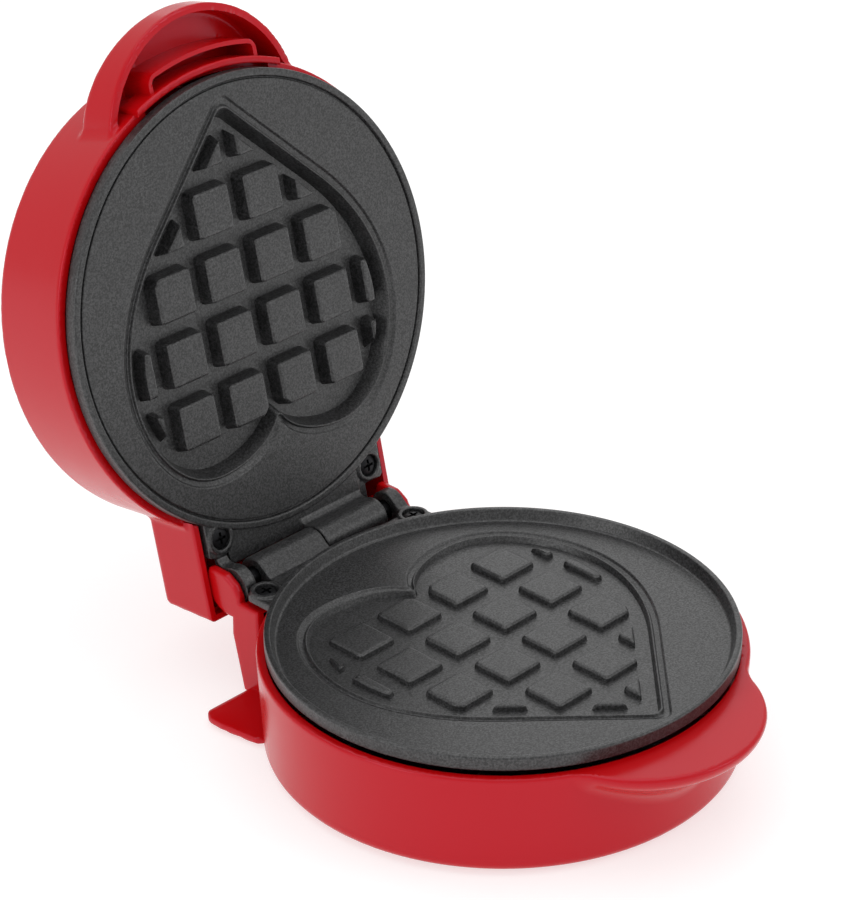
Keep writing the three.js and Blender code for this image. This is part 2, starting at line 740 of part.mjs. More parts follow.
// Lid shell: drafted wall, rounded shoulder, seat for the top cap, scooped grip and hinge cover.
function lidShell() {
  const shoulder = [];
  const seatRadius = capRadius + fitGap;
  const seatZ = lidTopHeight - capThickness - fitGap;
  for (let step = 0; step <= bendSteps; step++) {
    const angle = (step / bendSteps) * (Math.PI / 2);
    shoulder.push([
      seatRadius + (lidShoulderRadius - seatRadius) * Math.cos(angle),
      shoulderHeight + (lidTopHeight - shoulderHeight) * Math.sin(angle),
    ]);
  }
  const roof = seatZ - wallThickness + fitGap;
  const outer = turned([[0, lidRimHeight], [lidRimRadius, lidRimHeight], ...shoulder, [0, lidTopHeight]]);
  const seat = bar(seatRadius, 0, 0, seatZ, lidTopHeight + overrun, roundSteps);
  const opening = bar(seatRadius - capSeatWidth, 0, 0, roof - overrun, seatZ + overrun, roundSteps);
  const inside = turned([
    [0, lidRimHeight - overrun], [lidInnerRadius, lidRimHeight - overrun],
    [lidShoulderRadius - wallThickness, roof - wallThickness],
    [lidShoulderRadius - 2 * wallThickness, roof], [0, roof],
  ]);
  let body = joined(outer, lidGrip(0), hingeCover(0));
  body = cut(body, inside, seat, opening);
  const wallKeeper = bar(lidRimRadius, 0, 0, 0, lidTopHeight, roundSteps);
  const coverInner = hingeCoverHalfWidth - hingeCoverWall;
  body = cut(
    body, cut(lidGrip(lidGripWall), wallKeeper), cut(hingeCover(hingeCoverWall), wallKeeper),
    box(-coverInner, coverInner, 0, hingeCoverRimY - hingeCoverWall, 0, lidRimHeight),
    bar(plateRadius + fitGap, 0, 0, 0, lidRimHeight, roundSteps),
  );
  const extras = [gripRib()];
  for (const x of [-lugX, lugX]) {
    const low = upperRimPlane + flangeHeight + fitGap;
    extras.push(bar(screwBossRadius, x, upperLug.y, low, low + lidBossHeight));
  }
  for (const angle of supportRibAngles) {
    extras.push(radialBlock(angle, skirtRadius + fitGap, lidShoulderRadius - wallThickness / 2,
      supportRibWidth, upperRimPlane + flangeHeight + fitGap, lidRimHeight + supportRibHeight));
  }
  body = joined(body, ...extras);
  for (const x of [-lugX, lugX]) {
    const low = upperRimPlane + flangeHeight + fitGap;
    body = cut(body, bar(screwBore, x, upperLug.y, low - overrun, low + lidBossHeight - overrun));
  }
  return body;
}

// The grip as a solid; inset gives the hollow that is cut out of it from below.
function lidGrip(inset) {
  const radius = gripRadius - inset;
  const low = inset > 0 ? lidRimHeight - overrun : lidGripRim;
  const side = new THREE.Shape();
  const reach = gripRadius + overrun;
  side.moveTo(-reach, low);
  side.lineTo(reach, low);
  for (let step = 0; step <= 2 * bendSteps; step++) {
    const x = reach * (1 - step / bendSteps);
    side.lineTo(x, lidGripTop - inset + lidGripRise * (x / gripRadius) ** 2);
  }
  side.closePath();
  const depth = 2 * reach;
  const scoop = new THREE.ExtrudeGeometry(side, { depth, bevelEnabled: false });
  scoop.rotateX(Math.PI / 2).translate(0, lidGripCentreY + reach, 0);
  const top = lidGripTop + 2 * lidGripRise;
  const disc = solid(
    new THREE.CylinderGeometry(radius, radius, top - low, roundSteps)
      .rotateX(Math.PI / 2).translate(0, lidGripCentreY, (top + low) / 2),
  );
  return disc.intersect(solid(scoop)).subtract(box(-reach, reach, lidGripCentreY, reach, 0, lidTopHeight));
}

// Curved stiffening rib with two end walls, hidden under the grip.
function gripRib() {
  const roof = lidGripTop - lidGripWall / 2;
  const ring = turned([
    [ribRadius - ribWall, lidRimHeight], [ribRadius, lidRimHeight], [ribRadius, roof],
    [ribRadius - ribWall, roof],
  ]);
  const sector = box(-ribHalfWidth, ribHalfWidth, -ribRadius - overrun, 0, 0, lidTopHeight);
  const ends = [-1, 1].map((side) => {
    const outerX = side * ribHalfWidth;
    const innerX = side * (ribHalfWidth - ribWall);
    const block = box(
      Math.min(outerX, innerX), Math.max(outerX, innerX), -ribRadius, -lidRimRadius / 2, lidRimHeight, roof,
    );
    const within = bar(ribRadius - ribWall / 2, 0, 0, 0, lidTopHeight, roundSteps);
    return block.intersect(within).subtract(bar(lidRimRadius - wallThickness / 2, 0, 0, 0, roof, roundSteps));
  });
  return joined(ring.intersect(sector), ...ends);
}

// Box over the hinge; inset gives the pocket that is cut out of it from below.
function hingeCover(inset) {
  const low = inset > 0 ? hingeCoverRim - overrun : hingeCoverRim;
  const half = hingeCoverHalfWidth - inset;
  const top = hingeCoverTop - inset;
  return sideSlab([
    [tabReach / 2, low], [hingeCoverRimY - inset, low], [hingeCoverTopY - inset, top], [tabReach / 2, top],
  ], -half, half).subtract(bar(lidInnerRadius, 0, 0, 0, lidTopHeight, roundSteps));
}

function lidTopCap() {
  const low = lidTopHeight - capThickness;
  const disc = turned([
    [0, low], [capRadius, low], [capRadius, lidTopHeight - edgeChamfer],
    [capRadius - edgeChamfer, lidTopHeight], [0, lidTopHeight],
  ]);
  const window = box(
    -windowHalfWidth, windowHalfWidth, windowFrontY, windowBackY, low - overrun, lidTopHeight + overrun,
  );
  return cut(disc, window);
}

// Clear bar that fills the window slot, with a flange under the cap.
function indicatorLens() {
  const low = lidTopHeight - capThickness - fitGap;
  const half = windowHalfWidth - fitGap;
  return joined(
    box(-half, half, windowFrontY + fitGap, windowBackY - fitGap, low - fitGap, lidTopHeight - fitGap),
    box(
      -lensFlangeHalfWidth, lensFlangeHalfWidth, windowFrontY + fitGap, windowBackY - fitGap,
      low - lensFlangeThickness, low,
    ),
  );
}

// Materials
function finish(color, roughness, metalness) {
  return new THREE.MeshStandardMaterial({ color, roughness, metalness });
}

const redPlastic = () => finish(0xc02a2c, 0.28, 0);
const blackCoating = () => finish(0x4a4a4c, 0.6, 0.2);
const blackSteel = () => finish(0x1d1d1f, 0.45, 0.8);
const zincSteel = () => finish(0xb4b6b8, 0.4, 0.9);
const rubber = () => finish(0x222224, 0.9, 0);
const aluminium = () => finish(0xc9cbcd, 0.35, 0.9);
const clearRed = () => finish(0xa01416, 0.15, 0);
const ceramic = () => finish(0xe6e0d2, 0.6, 0);
const lampGlass = () => finish(0xe8a070, 0.2, 0);
const wireSleeve = () => finish(0xe9e7e0, 0.7, 0);

function add(group, name, body, material) {
  const mesh = new THREE.Mesh(geometryOf(body), material);
  mesh.name = name;
  group.add(mesh);
  return mesh;
}

// A plate with what is fastened behind it, in the plate's own frame.
function plateStack(prefix, plateBody, faceDepth, lug) {
  const stack = new THREE.Group();
  const panBottom = -faceDepth - cavityDepth - panFloor;
  const elementZ = panBottom - fitGap - elementRadius;
  const dishTop = panBottom - elementBackDepth;
  add(stack, `${prefix}_plate`, plateBody, blackCoating());
  add(stack, `${prefix}_heating_element`, heatingElement(), zincSteel()).position.z = elementZ;
  add(stack, `${prefix}_heat_reflector`, reflector(), aluminium()).position.z = dishTop;
  const centreScrew = add(stack, `${prefix}_reflector_screw`, screw(reflectorScrewLength), zincSteel());
  centreScrew.position.z = dishTop - reflectorSheet - fitGap;
  centreScrew.rotation.x = Math.PI;
  const lugSeat = -lug.drop - screwHeadHeight - lugRecess + fitGap / 2;
  const names = prefix === "lower" ? ["left", "right"] : ["right", "left"];
  [-lugX, lugX].forEach((x, index) => {
    const name = `${prefix}_plate_screw_${names[index]}`;
    const fastener = add(stack, name, screw(plateScrewLength), blackSteel());
    fastener.position.set(x, lug.y, lugSeat);
  });
  return stack;
}

const lowerHinge = hingeZ - seamHeight;
const upperHinge = upperRimPlane - hingeZ;
const lowerTabTop = -lowerLug.drop - lugBossRise;
const upperTabTop = -upperLug.drop - lugBossRise;
const lowerWeb = [
  [tabReach / 2, -lowerLug.under], [hingeY - barrelRadius / 2, -lowerLug.under],
  [hingeY, lowerHinge - barrelRadius], [hingeY, lowerHinge],
  [hingeY - barrelRadius * webTopShare, lowerTabTop], [tabReach / 2, lowerTabTop],
];
const upperWeb = [
  [upperLug.y, -upperLug.under], [tabReach, -upperLug.under * webTopShare],
  [hingeY, upperHinge - barrelRadius * webFootShare], [hingeY, upperHinge],
  [tabReach + runningGap, upperTabTop], [upperLug.y, upperTabTop],
];

// Base side
const base = new THREE.Group();
add(base, "base_housing", baseHousing(), redPlastic());
add(base, "bottom_cover", bottomCover(), redPlastic());
cornerAngles.forEach((angle, index) => {
  const [footX, footY] = onCircle(footPitchRadius, angle);
  add(base, `rubber_foot_${cornerNames[index]}`, rubberFoot(), rubber()).position.set(footX, footY, 0);
  const [x, y] = onCircle(coverScrewPitchRadius, angle);
  const fastener = add(base, `cover_screw_${cornerNames[index]}`, screw(coverScrewLength), zincSteel());
  fastener.position.set(x, y, bottomCoverTop);
  fastener.rotation.x = Math.PI;
});
const lowerFace = lowerLipHeight;
const lowerPlate = plate(lowerFace, plateRadius - lipWidth - lipRun, lowerHinge, lowerLug, lowerWeb);
const lowerStack = plateStack("lower", lowerPlate, lowerFace, lowerLug);
lowerStack.position.z = seamHeight;
base.add(lowerStack);
const thermostat = bar(
  thermostatRadius, ...thermostatPlace, lowerPanBottom - fitGap - thermostatHeight, lowerPanBottom - fitGap,
);
add(base, "thermostat", thermostat, ceramic());
add(base, "terminal_block", terminalBlock(), ceramic());
const pinEnd = earOuter - fitGap;
add(base, "hinge_pin", crossBar(pinRadius, -pinEnd, pinEnd, hingeY, hingeZ), blackSteel());
const backSlope = Math.atan((towerWaistY - towerFootY) / (towerWaistZ - bodyBottom));
const bushing = add(base, "cord_inlet_bushing", cordInletBushing(), rubber());
bushing.position.set(0, ...inletPlace(backSlope));
bushing.rotation.x = -backSlope;
for (const [side, name] of [[-1, "left"], [1, "right"]]) {
  const x = side * elementLegX;
  const top = lowerPanBottom - fitGap - elementRadius;
  const blockBack = terminalY + terminalDepth / 2 + fitGap;
  const low = bottomCoverTop + terminalHeight / 2;
  const route = [
    [x, elementLegEnd + fitGap, top], [x, elementLegEnd + elementRadius, top - leadRadius],
    [x, elementLegEnd + elementRadius * leadBendShare, (top + low) / 2],
    [x, blockBack + elementRadius, low + leadRadius], [x, blockBack, low],
  ];
  add(base, `lower_lead_${name}`, tube(route, leadRadius, tubeSides, smallSteps), wireSleeve());
}

// Lid side
const lid = new THREE.Group();
lid.position.set(0, hingeY, hingeZ);
lid.rotation.x = -openAngle * turn;
const lidParts = new THREE.Group();
lidParts.position.set(0, -hingeY, -hingeZ);
lid.add(lidParts);
add(lidParts, "lid_shell", lidShell(), redPlastic());
add(lidParts, "lid_top_cap", lidTopCap(), redPlastic());
add(lidParts, "indicator_lens", indicatorLens(), clearRed());
const lensUnderside = lidTopHeight - capThickness - fitGap - lensFlangeThickness;
const lampZ = lensUnderside - fitGap - lampRadius;
const lampMiddle = (windowFrontY + windowBackY) / 2;
const lamp = new THREE.CapsuleGeometry(lampRadius, lampLength - 2 * lampRadius, lampRings, smallSteps);
add(lidParts, "neon_lamp", solid(lamp.translate(0, lampMiddle, lampZ)), lampGlass());
const upperPlate = plate(upperFaceDepth, 0, upperHinge, upperLug, upperWeb);
const upperStack = plateStack("upper", upperPlate, upperFaceDepth, upperLug);
upperStack.position.z = upperRimPlane;
upperStack.rotation.y = Math.PI;
lidParts.add(upperStack);
const upperPanTop = upperRimPlane + upperFaceDepth + cavityDepth + panFloor;
const fuse = new THREE.CylinderGeometry(fuseRadius, fuseRadius, fuseLength, smallSteps);
fuse.translate(fusePlace[0], fusePlace[1], upperPanTop + fitGap + fuseRadius);
add(lidParts, "thermal_fuse", solid(fuse), ceramic());
for (const [side, name] of [[-1, "left"], [1, "right"]]) {
  const x = side * elementLegX;
  const low = upperPanTop + fitGap + elementRadius;
  const endX = side * (leadRadius + fitGap);
  const lampEnd = lampMiddle + lampLength / 2 + fitGap;
  const route = [
    [x, elementLegEnd + fitGap, low], [x, elementLegEnd + elementRadius, low + leadRadius],
    [(x + endX) / 2, elementLegEnd + elementRadius * leadBendShare, (low + lampZ) / 2],
    [endX, lampEnd + elementRadius, lampZ - leadRadius], [endX, lampEnd, lampZ],
  ];
  add(lidParts, `upper_lead_${name}`, tube(route, leadRadius, tubeSides, smallSteps), wireSleeve());
}

// The whole appliance stands on z = 0 with the middle of its footprint box at the origin.
const waffleMaker = new THREE.Group();
const standing = new THREE.Group();
standing.add(base, lid);
waffleMaker.add(standing);
const reach = new THREE.Box3().setFromObject(standing, true);
standing.position.y = -(reach.min.y + reach.max.y) / 2;

export default waffleMaker;
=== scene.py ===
# Countertop waffle maker, open: glossy red housings, two coated plates with a heart of pegs.
# Sizes are millimetres on the appliance with its lid shut, where X runs along the hinge pin, Y back
# from the plates' middle and Z up from the table. The lid's pieces are then turned about the pin.
import json
import math

import bpy
import numpy as np
from mathutils import Matrix, Vector


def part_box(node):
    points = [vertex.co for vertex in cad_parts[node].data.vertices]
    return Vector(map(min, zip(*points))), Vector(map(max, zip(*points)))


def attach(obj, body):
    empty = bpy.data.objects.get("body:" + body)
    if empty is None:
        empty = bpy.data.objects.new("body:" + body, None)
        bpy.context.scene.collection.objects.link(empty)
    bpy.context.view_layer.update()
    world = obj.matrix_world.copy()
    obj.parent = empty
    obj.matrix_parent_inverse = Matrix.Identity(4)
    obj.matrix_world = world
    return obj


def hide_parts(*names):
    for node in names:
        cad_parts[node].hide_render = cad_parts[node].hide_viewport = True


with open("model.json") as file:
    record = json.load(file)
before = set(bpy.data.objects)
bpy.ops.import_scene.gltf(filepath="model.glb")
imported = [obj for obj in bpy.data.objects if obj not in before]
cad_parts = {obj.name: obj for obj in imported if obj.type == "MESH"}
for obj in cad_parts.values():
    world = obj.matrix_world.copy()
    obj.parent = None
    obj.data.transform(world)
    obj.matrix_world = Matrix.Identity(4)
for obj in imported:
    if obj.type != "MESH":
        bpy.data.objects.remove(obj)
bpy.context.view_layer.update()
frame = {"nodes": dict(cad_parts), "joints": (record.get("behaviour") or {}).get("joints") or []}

# Sizes that several pieces share
MM = 0.001
PLATE_RADIUS = 61.0
HINGE_STANDOFF = 8.2
HINGE_Y = PLATE_RADIUS + HINGE_STANDOFF
HINGE_Z = 29.8
PIN_RADIUS = 2.4
LUG_X = 27.3
LOWER_LUG_Y = 59.2
UPPER_LUG_Y = 57.3
LOWER_RIM_PLANE = 33.9
UPPER_RIM_PLANE = 34.2
BODY_BOTTOM = 1.2
BASE_RIM = 28.9
LID_RIM = 38.8
LID_RIM_RADIUS = 62.7
LID_TOP = 67.4
CAP_RADIUS = 50.6
GRIP_RADIUS = 32.3

LID_TURN = math.radians(min(frame["joints"][0]["range_deg"]))
PLATES_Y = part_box("lower_plate")[0].y / MM + PLATE_RADIUS


# Pieces and their skins

# Edges that turn by more than this stay sharp
CREASE_DEGREES = 40
STRAIGHT_ANGLE = 0.02
ROUND_STEPS = 4
MOST_OF_A_SIDE = 0.49


def opened(vectors, pivot_y, pivot_z):
    """Points or directions of the shut lid, turned about a pivot to where the lid stands open."""
    out = np.array(vectors, float)
    y, z = out[:, 1] - pivot_y, out[:, 2] - pivot_z
    out[:, 1] = pivot_y + math.cos(LID_TURN) * y - math.sin(LID_TURN) * z
    out[:, 2] = pivot_z + math.sin(LID_TURN) * y + math.cos(LID_TURN) * z
    return out


def new_piece(name, points, faces, material, body, slot, replaced=(), normals=None):
    """One finished piece on a body: its place is in its mesh, and it stands for CAD nodes."""
    if body == "lid":
        points = opened(points, HINGE_Y, HINGE_Z)
        normals = None if normals is None else opened(normals, 0, 0)
    mesh = bpy.data.meshes.new(name)
    standing = (points + (0, PLATES_Y, 0)) * MM
    mesh.from_pydata(standing.tolist(), [], [list(face) for face in faces])
    piece = bpy.data.objects.new(name, mesh)
    bpy.context.scene.collection.objects.link(piece)
    mesh.materials.append(material)
    mesh.polygons.foreach_set("use_smooth", np.ones(len(mesh.polygons), bool))
    if normals is None:
        crisp_shading(piece)
    else:
        mesh.normals_split_custom_set(normals.tolist())
    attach(piece, body)
    if replaced:
        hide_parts(*replaced)


def crisp_shading(piece):
    """Flat faces stay flat and their rounded edges shade smoothly."""
    piece.data.set_sharp_from_angle(angle=math.radians(CREASE_DEGREES))
    weighted = piece.modifiers.new("weighted", "WEIGHTED_NORMAL")
    weighted.keep_sharp = True
    weighted.weight = 100
    finished = bpy.data.meshes.new_from_object(
        piece.evaluated_get(bpy.context.evaluated_depsgraph_get()))
    piece.modifiers.remove(weighted)
    unshaded = piece.data
    name = unshaded.name
    piece.data = finished
    bpy.data.meshes.remove(unshaded)
    finished.name = name


def skin(rings, loop=False):
    """Faces over rings of equal length that follow each other; open ends are closed flat."""
    count = len(rings[0])
    step = np.arange(count)
    after = (step + 1) % count
    faces = []
    for ring in range(len(rings) if loop else len(rings) - 1):
        here = ring * count
        there = (ring + 1) % len(rings) * count
        faces += np.stack([here + step, here + after, there + after, there + step], 1).tolist()
    if not loop:
        start = (len(rings) - 1) * count
        faces += [list(range(count))[::-1], list(range(start, start + count))]
    return np.concatenate(rings), faces


def join_parts(*parts):
    """Several skins as one."""
    points, faces, start = [], [], 0
    for part_points, part_faces in parts:
        points.append(part_points)
        faces += [[corner + start for corner in face] for face in part_faces]
        start += len(part_points)
    return np.concatenate(points), faces


def rounded(corners, steps=ROUND_STEPS, closed=False):
    """An outline of corners (u, v, radius), rounded; a corner without a radius stays sharp."""
    out = []
    count = len(corners)
    for index, corner in enumerate(corners):
        here = np.array(corner[:2], float)
        radius = corner[2] if len(corner) > 2 else 0
        if radius <= 0 or (not closed and index in (0, count - 1)):
            out.append(here)
            continue
        before = np.array(corners[index - 1][:2], float) - here
        after = np.array(corners[(index + 1) % count][:2], float) - here
        before_length, after_length = np.linalg.norm(before), np.linalg.norm(after)
        before, after = before / before_length, after / after_length
        opening = math.acos(max(-1, min(1, float(before @ after))))
        spread = math.pi - opening
        if spread < STRAIGHT_ANGLE:
            out.append(here)
            continue
        back = min(radius / math.tan(opening / 2), MOST_OF_A_SIDE * before_length,
                   MOST_OF_A_SIDE * after_length)
        size = back * math.tan(opening / 2)
        middle = (before + after) / np.linalg.norm(before + after)
        centre = here + middle * size / math.sin(opening / 2)
        first, second = here + before * back - centre, here + after * back - centre
        for part in range(steps + 1):
            share = part / steps
            first_share = math.sin((1 - share) * spread) / math.sin(spread)
            second_share = math.sin(share * spread) / math.sin(spread)
            out.append(centre + first_share * first + second_share * second)
    return np.array(out)


def turned(profile, steps, place, across, up, along):
    """Rings of a lathed profile of (radius, height), whose height runs along one direction."""
    angles = np.arange(steps)[:, None] / steps * 2 * math.pi
    return [np.array(place) + height * np.array(along) + radius * np.cos(angles) * np.array(across)
            + radius * np.sin(angles) * np.array(up) for radius, height in profile]


def level_ring(outline, z):
    """An outline as a level ring of points."""
    return np.column_stack([outline, np.full(len(outline), z)])


# Shapes told by distance: less than zero inside, more than zero outside

TINY = 1e-9
TINIEST = 1e-12
SLOPE_STEP = 0.02
POINTS_AT_ONCE = 300000
# The grid is sampled in blocks of so many cells, and a block far from the skin is marked only
BLOCK = 6
FAR_OFF = 9.0
CLOSE_IN_STEPS = 3
# Holds a point of a flat cell near the middle of its cuts
FLAT_PULL = 0.06
# A corner's normal this far from its face's is read inside the face, then taken from the face
ASTRAY_COSINE = 0.88
LOST_COSINE = 0.7
CORNER_SHARE = 0.6
MIDDLE_SHARE = 0.4


def blended(a, b, radius):
    """Two shapes joined, with a fillet in the corner between them."""
    return np.maximum(radius, np.minimum(a, b)) - np.hypot(
        np.maximum(radius - a, 0), np.maximum(radius - b, 0))


def trimmed(a, b, radius):
    """What two shapes share, with the edge between them rounded."""
    return np.minimum(-radius, np.maximum(a, b)) + np.hypot(
        np.maximum(radius + a, 0), np.maximum(radius + b, 0))


def shared(*shapes):
    """What several shapes share, with sharp edges."""
    return np.maximum.reduce(shapes)


def joined(*shapes):
    """Several shapes as one, with sharp corners between them."""
    return np.minimum.reduce(shapes)


def outline_distance(u, v, outline):
    """Distance to a closed outline."""
    nearest = np.full(u.shape, np.inf)
    inside = np.zeros(u.shape, bool)
    for start, end in zip(outline, np.roll(outline, -1, 0)):
        run, rise = end - start
        share = np.clip(((u - start[0]) * run + (v - start[1]) * rise)
                        / max(run * run + rise * rise, TINIEST), 0, 1)
        nearest = np.minimum(nearest, (u - start[0] - share * run) ** 2
                             + (v - start[1] - share * rise) ** 2)
        crosses = (start[1] > v) != (end[1] > v)
        if rise:
            inside ^= crosses & (u < start[0] + (v - start[1]) * run / rise)
    return np.where(inside, -1, 1) * np.sqrt(nearest)


def in_parts(shape, points):
    """The shape's distance at many points, worked out in portions to save memory."""
    return np.concatenate([shape(points[start:start + POINTS_AT_ONCE])
                           for start in range(0, len(points), POINTS_AT_ONCE)])


def slopes(shape, points):
    """Direction in which a shape's distance grows."""
    corners = np.array([(1, -1, -1), (-1, -1, 1), (-1, 1, -1), (1, 1, 1)], float)
    out = np.zeros_like(points)
    for corner in corners:
        out += corner * shape(points + SLOPE_STEP * corner)[:, None]
    length = np.linalg.norm(out, axis=1, keepdims=True)
    return out / np.maximum(length, TINY)


def grid(counts):
    """Every index of a grid with so many nodes along each axis."""
    return np.stack(np.meshgrid(*[np.arange(n) for n in counts], indexing="ij"), -1).reshape(-1, 3)


def sampled(shape, low, high, cell):
    """The shape's distance at each grid node near its skin; further off only its sign is true."""
    blocks = np.ceil((np.array(high, float) - low) / (cell * BLOCK)).astype(int)
    middles = (grid(blocks) + 0.5) * BLOCK * cell - cell / 2 + low
    from_middle = in_parts(shape, middles)
    field = np.where(from_middle < 0, -FAR_OFF, FAR_OFF).reshape(blocks)
    for axis in range(3):
        field = np.repeat(field, BLOCK, axis)
    near = np.abs(from_middle) < BLOCK * cell * math.sqrt(3) / 2 + 2 * cell
    corners = np.rint((middles[near] - low + cell / 2) / cell - BLOCK / 2).astype(int)
    nodes = (corners[:, None] + grid([BLOCK] * 3)).reshape(-1, 3)
    field[tuple(nodes.T)] = in_parts(shape, low + nodes * cell)
    return field


def crossings(shape, field, low, cell):
    """For each axis: the grid edges that the skin cuts, where it cuts them, and which leave it."""
    inside = field < 0
    found = []
    for axis in range(3):
        ahead, behind = [slice(None)] * 3, [slice(None)] * 3
        ahead[axis], behind[axis] = slice(1, None), slice(None, -1)
        crossed = np.argwhere(inside[tuple(ahead)] != inside[tuple(behind)])
        crossed = crossed[(crossed[:, (axis + 1) % 3] > 0) & (crossed[:, (axis + 2) % 3] > 0)]
        unit = np.eye(3, dtype=int)[axis]
        start, end = low + crossed * cell, low + (crossed + unit) * cell
        value, other = field[tuple(crossed.T)], field[tuple((crossed + unit).T)]
        for _ in range(CLOSE_IN_STEPS):
            cut = start + (end - start) * (value / (value - other))[:, None]
            level = in_parts(shape, cut)
            keep = (level < 0) == (value < 0)
            start = np.where(keep[:, None], cut, start)
            value = np.where(keep, level, value)
            end = np.where(keep[:, None], end, cut)
            other = np.where(keep, other, level)
            value = np.where(value == other, value + TINY, value)
        found.append((axis, crossed, cut, inside[tuple(crossed.T)]))
    return found


def moulded(shape, low, high, cell):
    """Skin of a shape: one point in each grid cell that the skin crosses, drawn to its edges."""
    low = np.array(low, float)
    field = sampled(shape, low, high, cell)
    strides = np.array([field.shape[1] * field.shape[2], field.shape[2], 1])
    cells, hits, where, faces = [], [], [], []
    for axis, crossed, cut, leaving in crossings(shape, field, low, cell):
        side, up = np.eye(3, dtype=int)[(axis + 1) % 3], np.eye(3, dtype=int)[(axis + 2) % 3]
        around = np.stack([crossed - side - up, crossed - up, crossed, crossed - side], 1)
        keys = around @ strides
        faces.append(np.where(leaving[:, None], keys, keys[:, ::-1]))
        cells.append(keys.reshape(-1))
        hits.append(np.repeat(cut, 4, 0))
        where.append(np.repeat(slopes(shape, cut), 4, 0))
    keys, index = np.unique(np.concatenate(cells), return_inverse=True)
    hits, where = np.concatenate(hits), np.concatenate(where)

    def gathered(values):
        return np.bincount(index, values, len(keys))

    share = gathered(np.ones(len(index)))
    centre = np.stack([gathered(hits[:, axis]) / share for axis in range(3)], 1)
    offset = np.einsum("ij,ij->i", where, hits - centre[index])
    matrix = np.empty((len(keys), 3, 3))
    for row in range(3):
        for column in range(3):
            matrix[:, row, column] = gathered(where[:, row] * where[:, column])
    matrix += FLAT_PULL * np.eye(3)
    pull = np.stack([gathered(where[:, axis] * offset) for axis in range(3)], 1)
    points = centre + np.linalg.solve(matrix, pull[:, :, None])[:, :, 0]
    cell_low = low + cell * np.stack(np.unravel_index(keys, field.shape), 1)
    points = np.clip(points, cell_low, cell_low + cell)
    faces = np.searchsorted(keys, np.concatenate(faces))
    return points, faces, corner_normals(shape, points, faces)


def corner_normals(shape, points, faces):
    """Normals at the faces' corners, read a little inside the face where an edge passes."""
    corners = points[faces]
    flat = np.cross(corners[:, 2] - corners[:, 0], corners[:, 3] - corners[:, 1])
    flat /= np.maximum(np.linalg.norm(flat, axis=1, keepdims=True), TINIEST)
    normals = slopes(shape, points)[faces]
    astray = np.einsum("ijk,ik->ij", normals, flat) < ASTRAY_COSINE
    beside = corners * CORNER_SHARE + corners.mean(1)[:, None] * MIDDLE_SHARE
    normals[astray] = slopes(shape, beside[astray])
    lost = np.einsum("ijk,ik->ij", normals, flat) < LOST_COSINE
    return np.where(lost[..., None], flat[:, None], normals).reshape(-1, 3)


# Finishes

# Most of a noise lies between these
NOISE_LOW = 0.3
NOISE_HIGH = 0.7
ROLLED_STRETCH = 0.02
# Bands that a diagonal wave draws in one unit along an axis, at scale 1
WAVE_BANDS = 10 / (2 * math.pi)


def linear(colour):
    """An sRGB hex colour as the linear values that Blender works in."""
    parts = [int(colour[at:at + 2], 16) / 255 for at in (1, 3, 5)]
    return tuple(p / 12.92 if p <= 0.04045 else ((p + 0.055) / 1.055) ** 2.4 for p in parts) + (1,)


def add(tree, kind, inputs=None, output=None, **settings):
    """One node with its settings, fed by values, hex colours or other nodes; gives an output."""
    node = tree.nodes.new(kind)
    for key, value in settings.items():
        setattr(node, key, value)
    for key, value in (inputs or {}).items():
        named = [socket for socket in node.inputs if key in (socket.identifier, socket.name)]
        socket = next((s for s in named if s.enabled), named[0])
        for feed in value if isinstance(value, list) else [value]:
            if isinstance(feed, bpy.types.NodeSocket):
                tree.links.new(feed, socket)
            else:
                socket.default_value = linear(feed) if isinstance(feed, str) else feed
    return next((s for s in node.outputs if output in (None, s.identifier, s.name)), None)


def finish_of(name):
    """A bare material, its tree, and the place on the piece that its patterns follow."""
    material = bpy.data.materials.new(name)
    material.use_nodes = True
    tree = material.node_tree
    tree.nodes.clear()
    return material, tree, add(tree, "ShaderNodeTexCoord", output="Object")


def per_mm(size):
    """The scale at which a pattern's grains are size millimetres across."""
    return 1 / (size * MM)


def surface(tree, tint, colours, gloss, rough, even, relief=None):
    """A finish from its patterns: tint runs between two colours, gloss between two roughnesses,
    and relief is a pattern with its depth in mm. Even values are the same all over."""
    colour = add(tree, "ShaderNodeMix", {
        "Factor_Float": tint, "A_Color": colours[0], "B_Color": colours[1],
    }, "Result_Color", data_type="RGBA")
    roughness = add(tree, "ShaderNodeMapRange", {
        "Value": gloss, "From Min": NOISE_LOW, "From Max": NOISE_HIGH,
        "To Min": rough[0], "To Max": rough[1]})
    inputs = {"Base Color": colour, "Roughness": roughness, **even}
    if relief:
        inputs["Normal"] = add(tree, "ShaderNodeBump", {
            "Height": relief[0], "Distance": relief[1] * MM, "Strength": 1.0})
    add(tree, "ShaderNodeOutputMaterial", {
        "Surface": add(tree, "ShaderNodeBsdfPrincipled", inputs)})


def grained(name, size, detail, colours, rough, even, depth=0):
    """A finish whose colour, gloss and relief all follow one grain, its size and depth in mm."""
    material, tree, at = finish_of(name)
    grain = add(tree, "ShaderNodeTexNoise", {
        "Vector": at, "Scale": per_mm(size), "Detail": detail})
    surface(tree, grain, colours, grain, rough, even, (grain, depth) if depth else None)
    return material


def gloss_red_abs():
    """Gloss ABS, injection moulded in a polished tool: an even colour under a clean shine that
    wavers slightly over the moulding's flow and sink marks."""
    material, tree, at = finish_of("gloss_red_abs")
    flow = add(tree, "ShaderNodeTexNoise", {"Vector": at, "Scale": per_mm(34), "Detail": 1.0})
    sink = add(tree, "ShaderNodeTexNoise", {"Vector": at, "Scale": per_mm(7), "Detail": 1.0})
    surface(tree, tint=flow, colours=("#B9060B", "#BC070C"), gloss=sink, rough=(0.20, 0.26),
            even={"IOR": 1.53, "Specular IOR Level": 0.32, "Specular Tint": "#E4DEFF"},
            relief=(sink, 0.02))
    return material


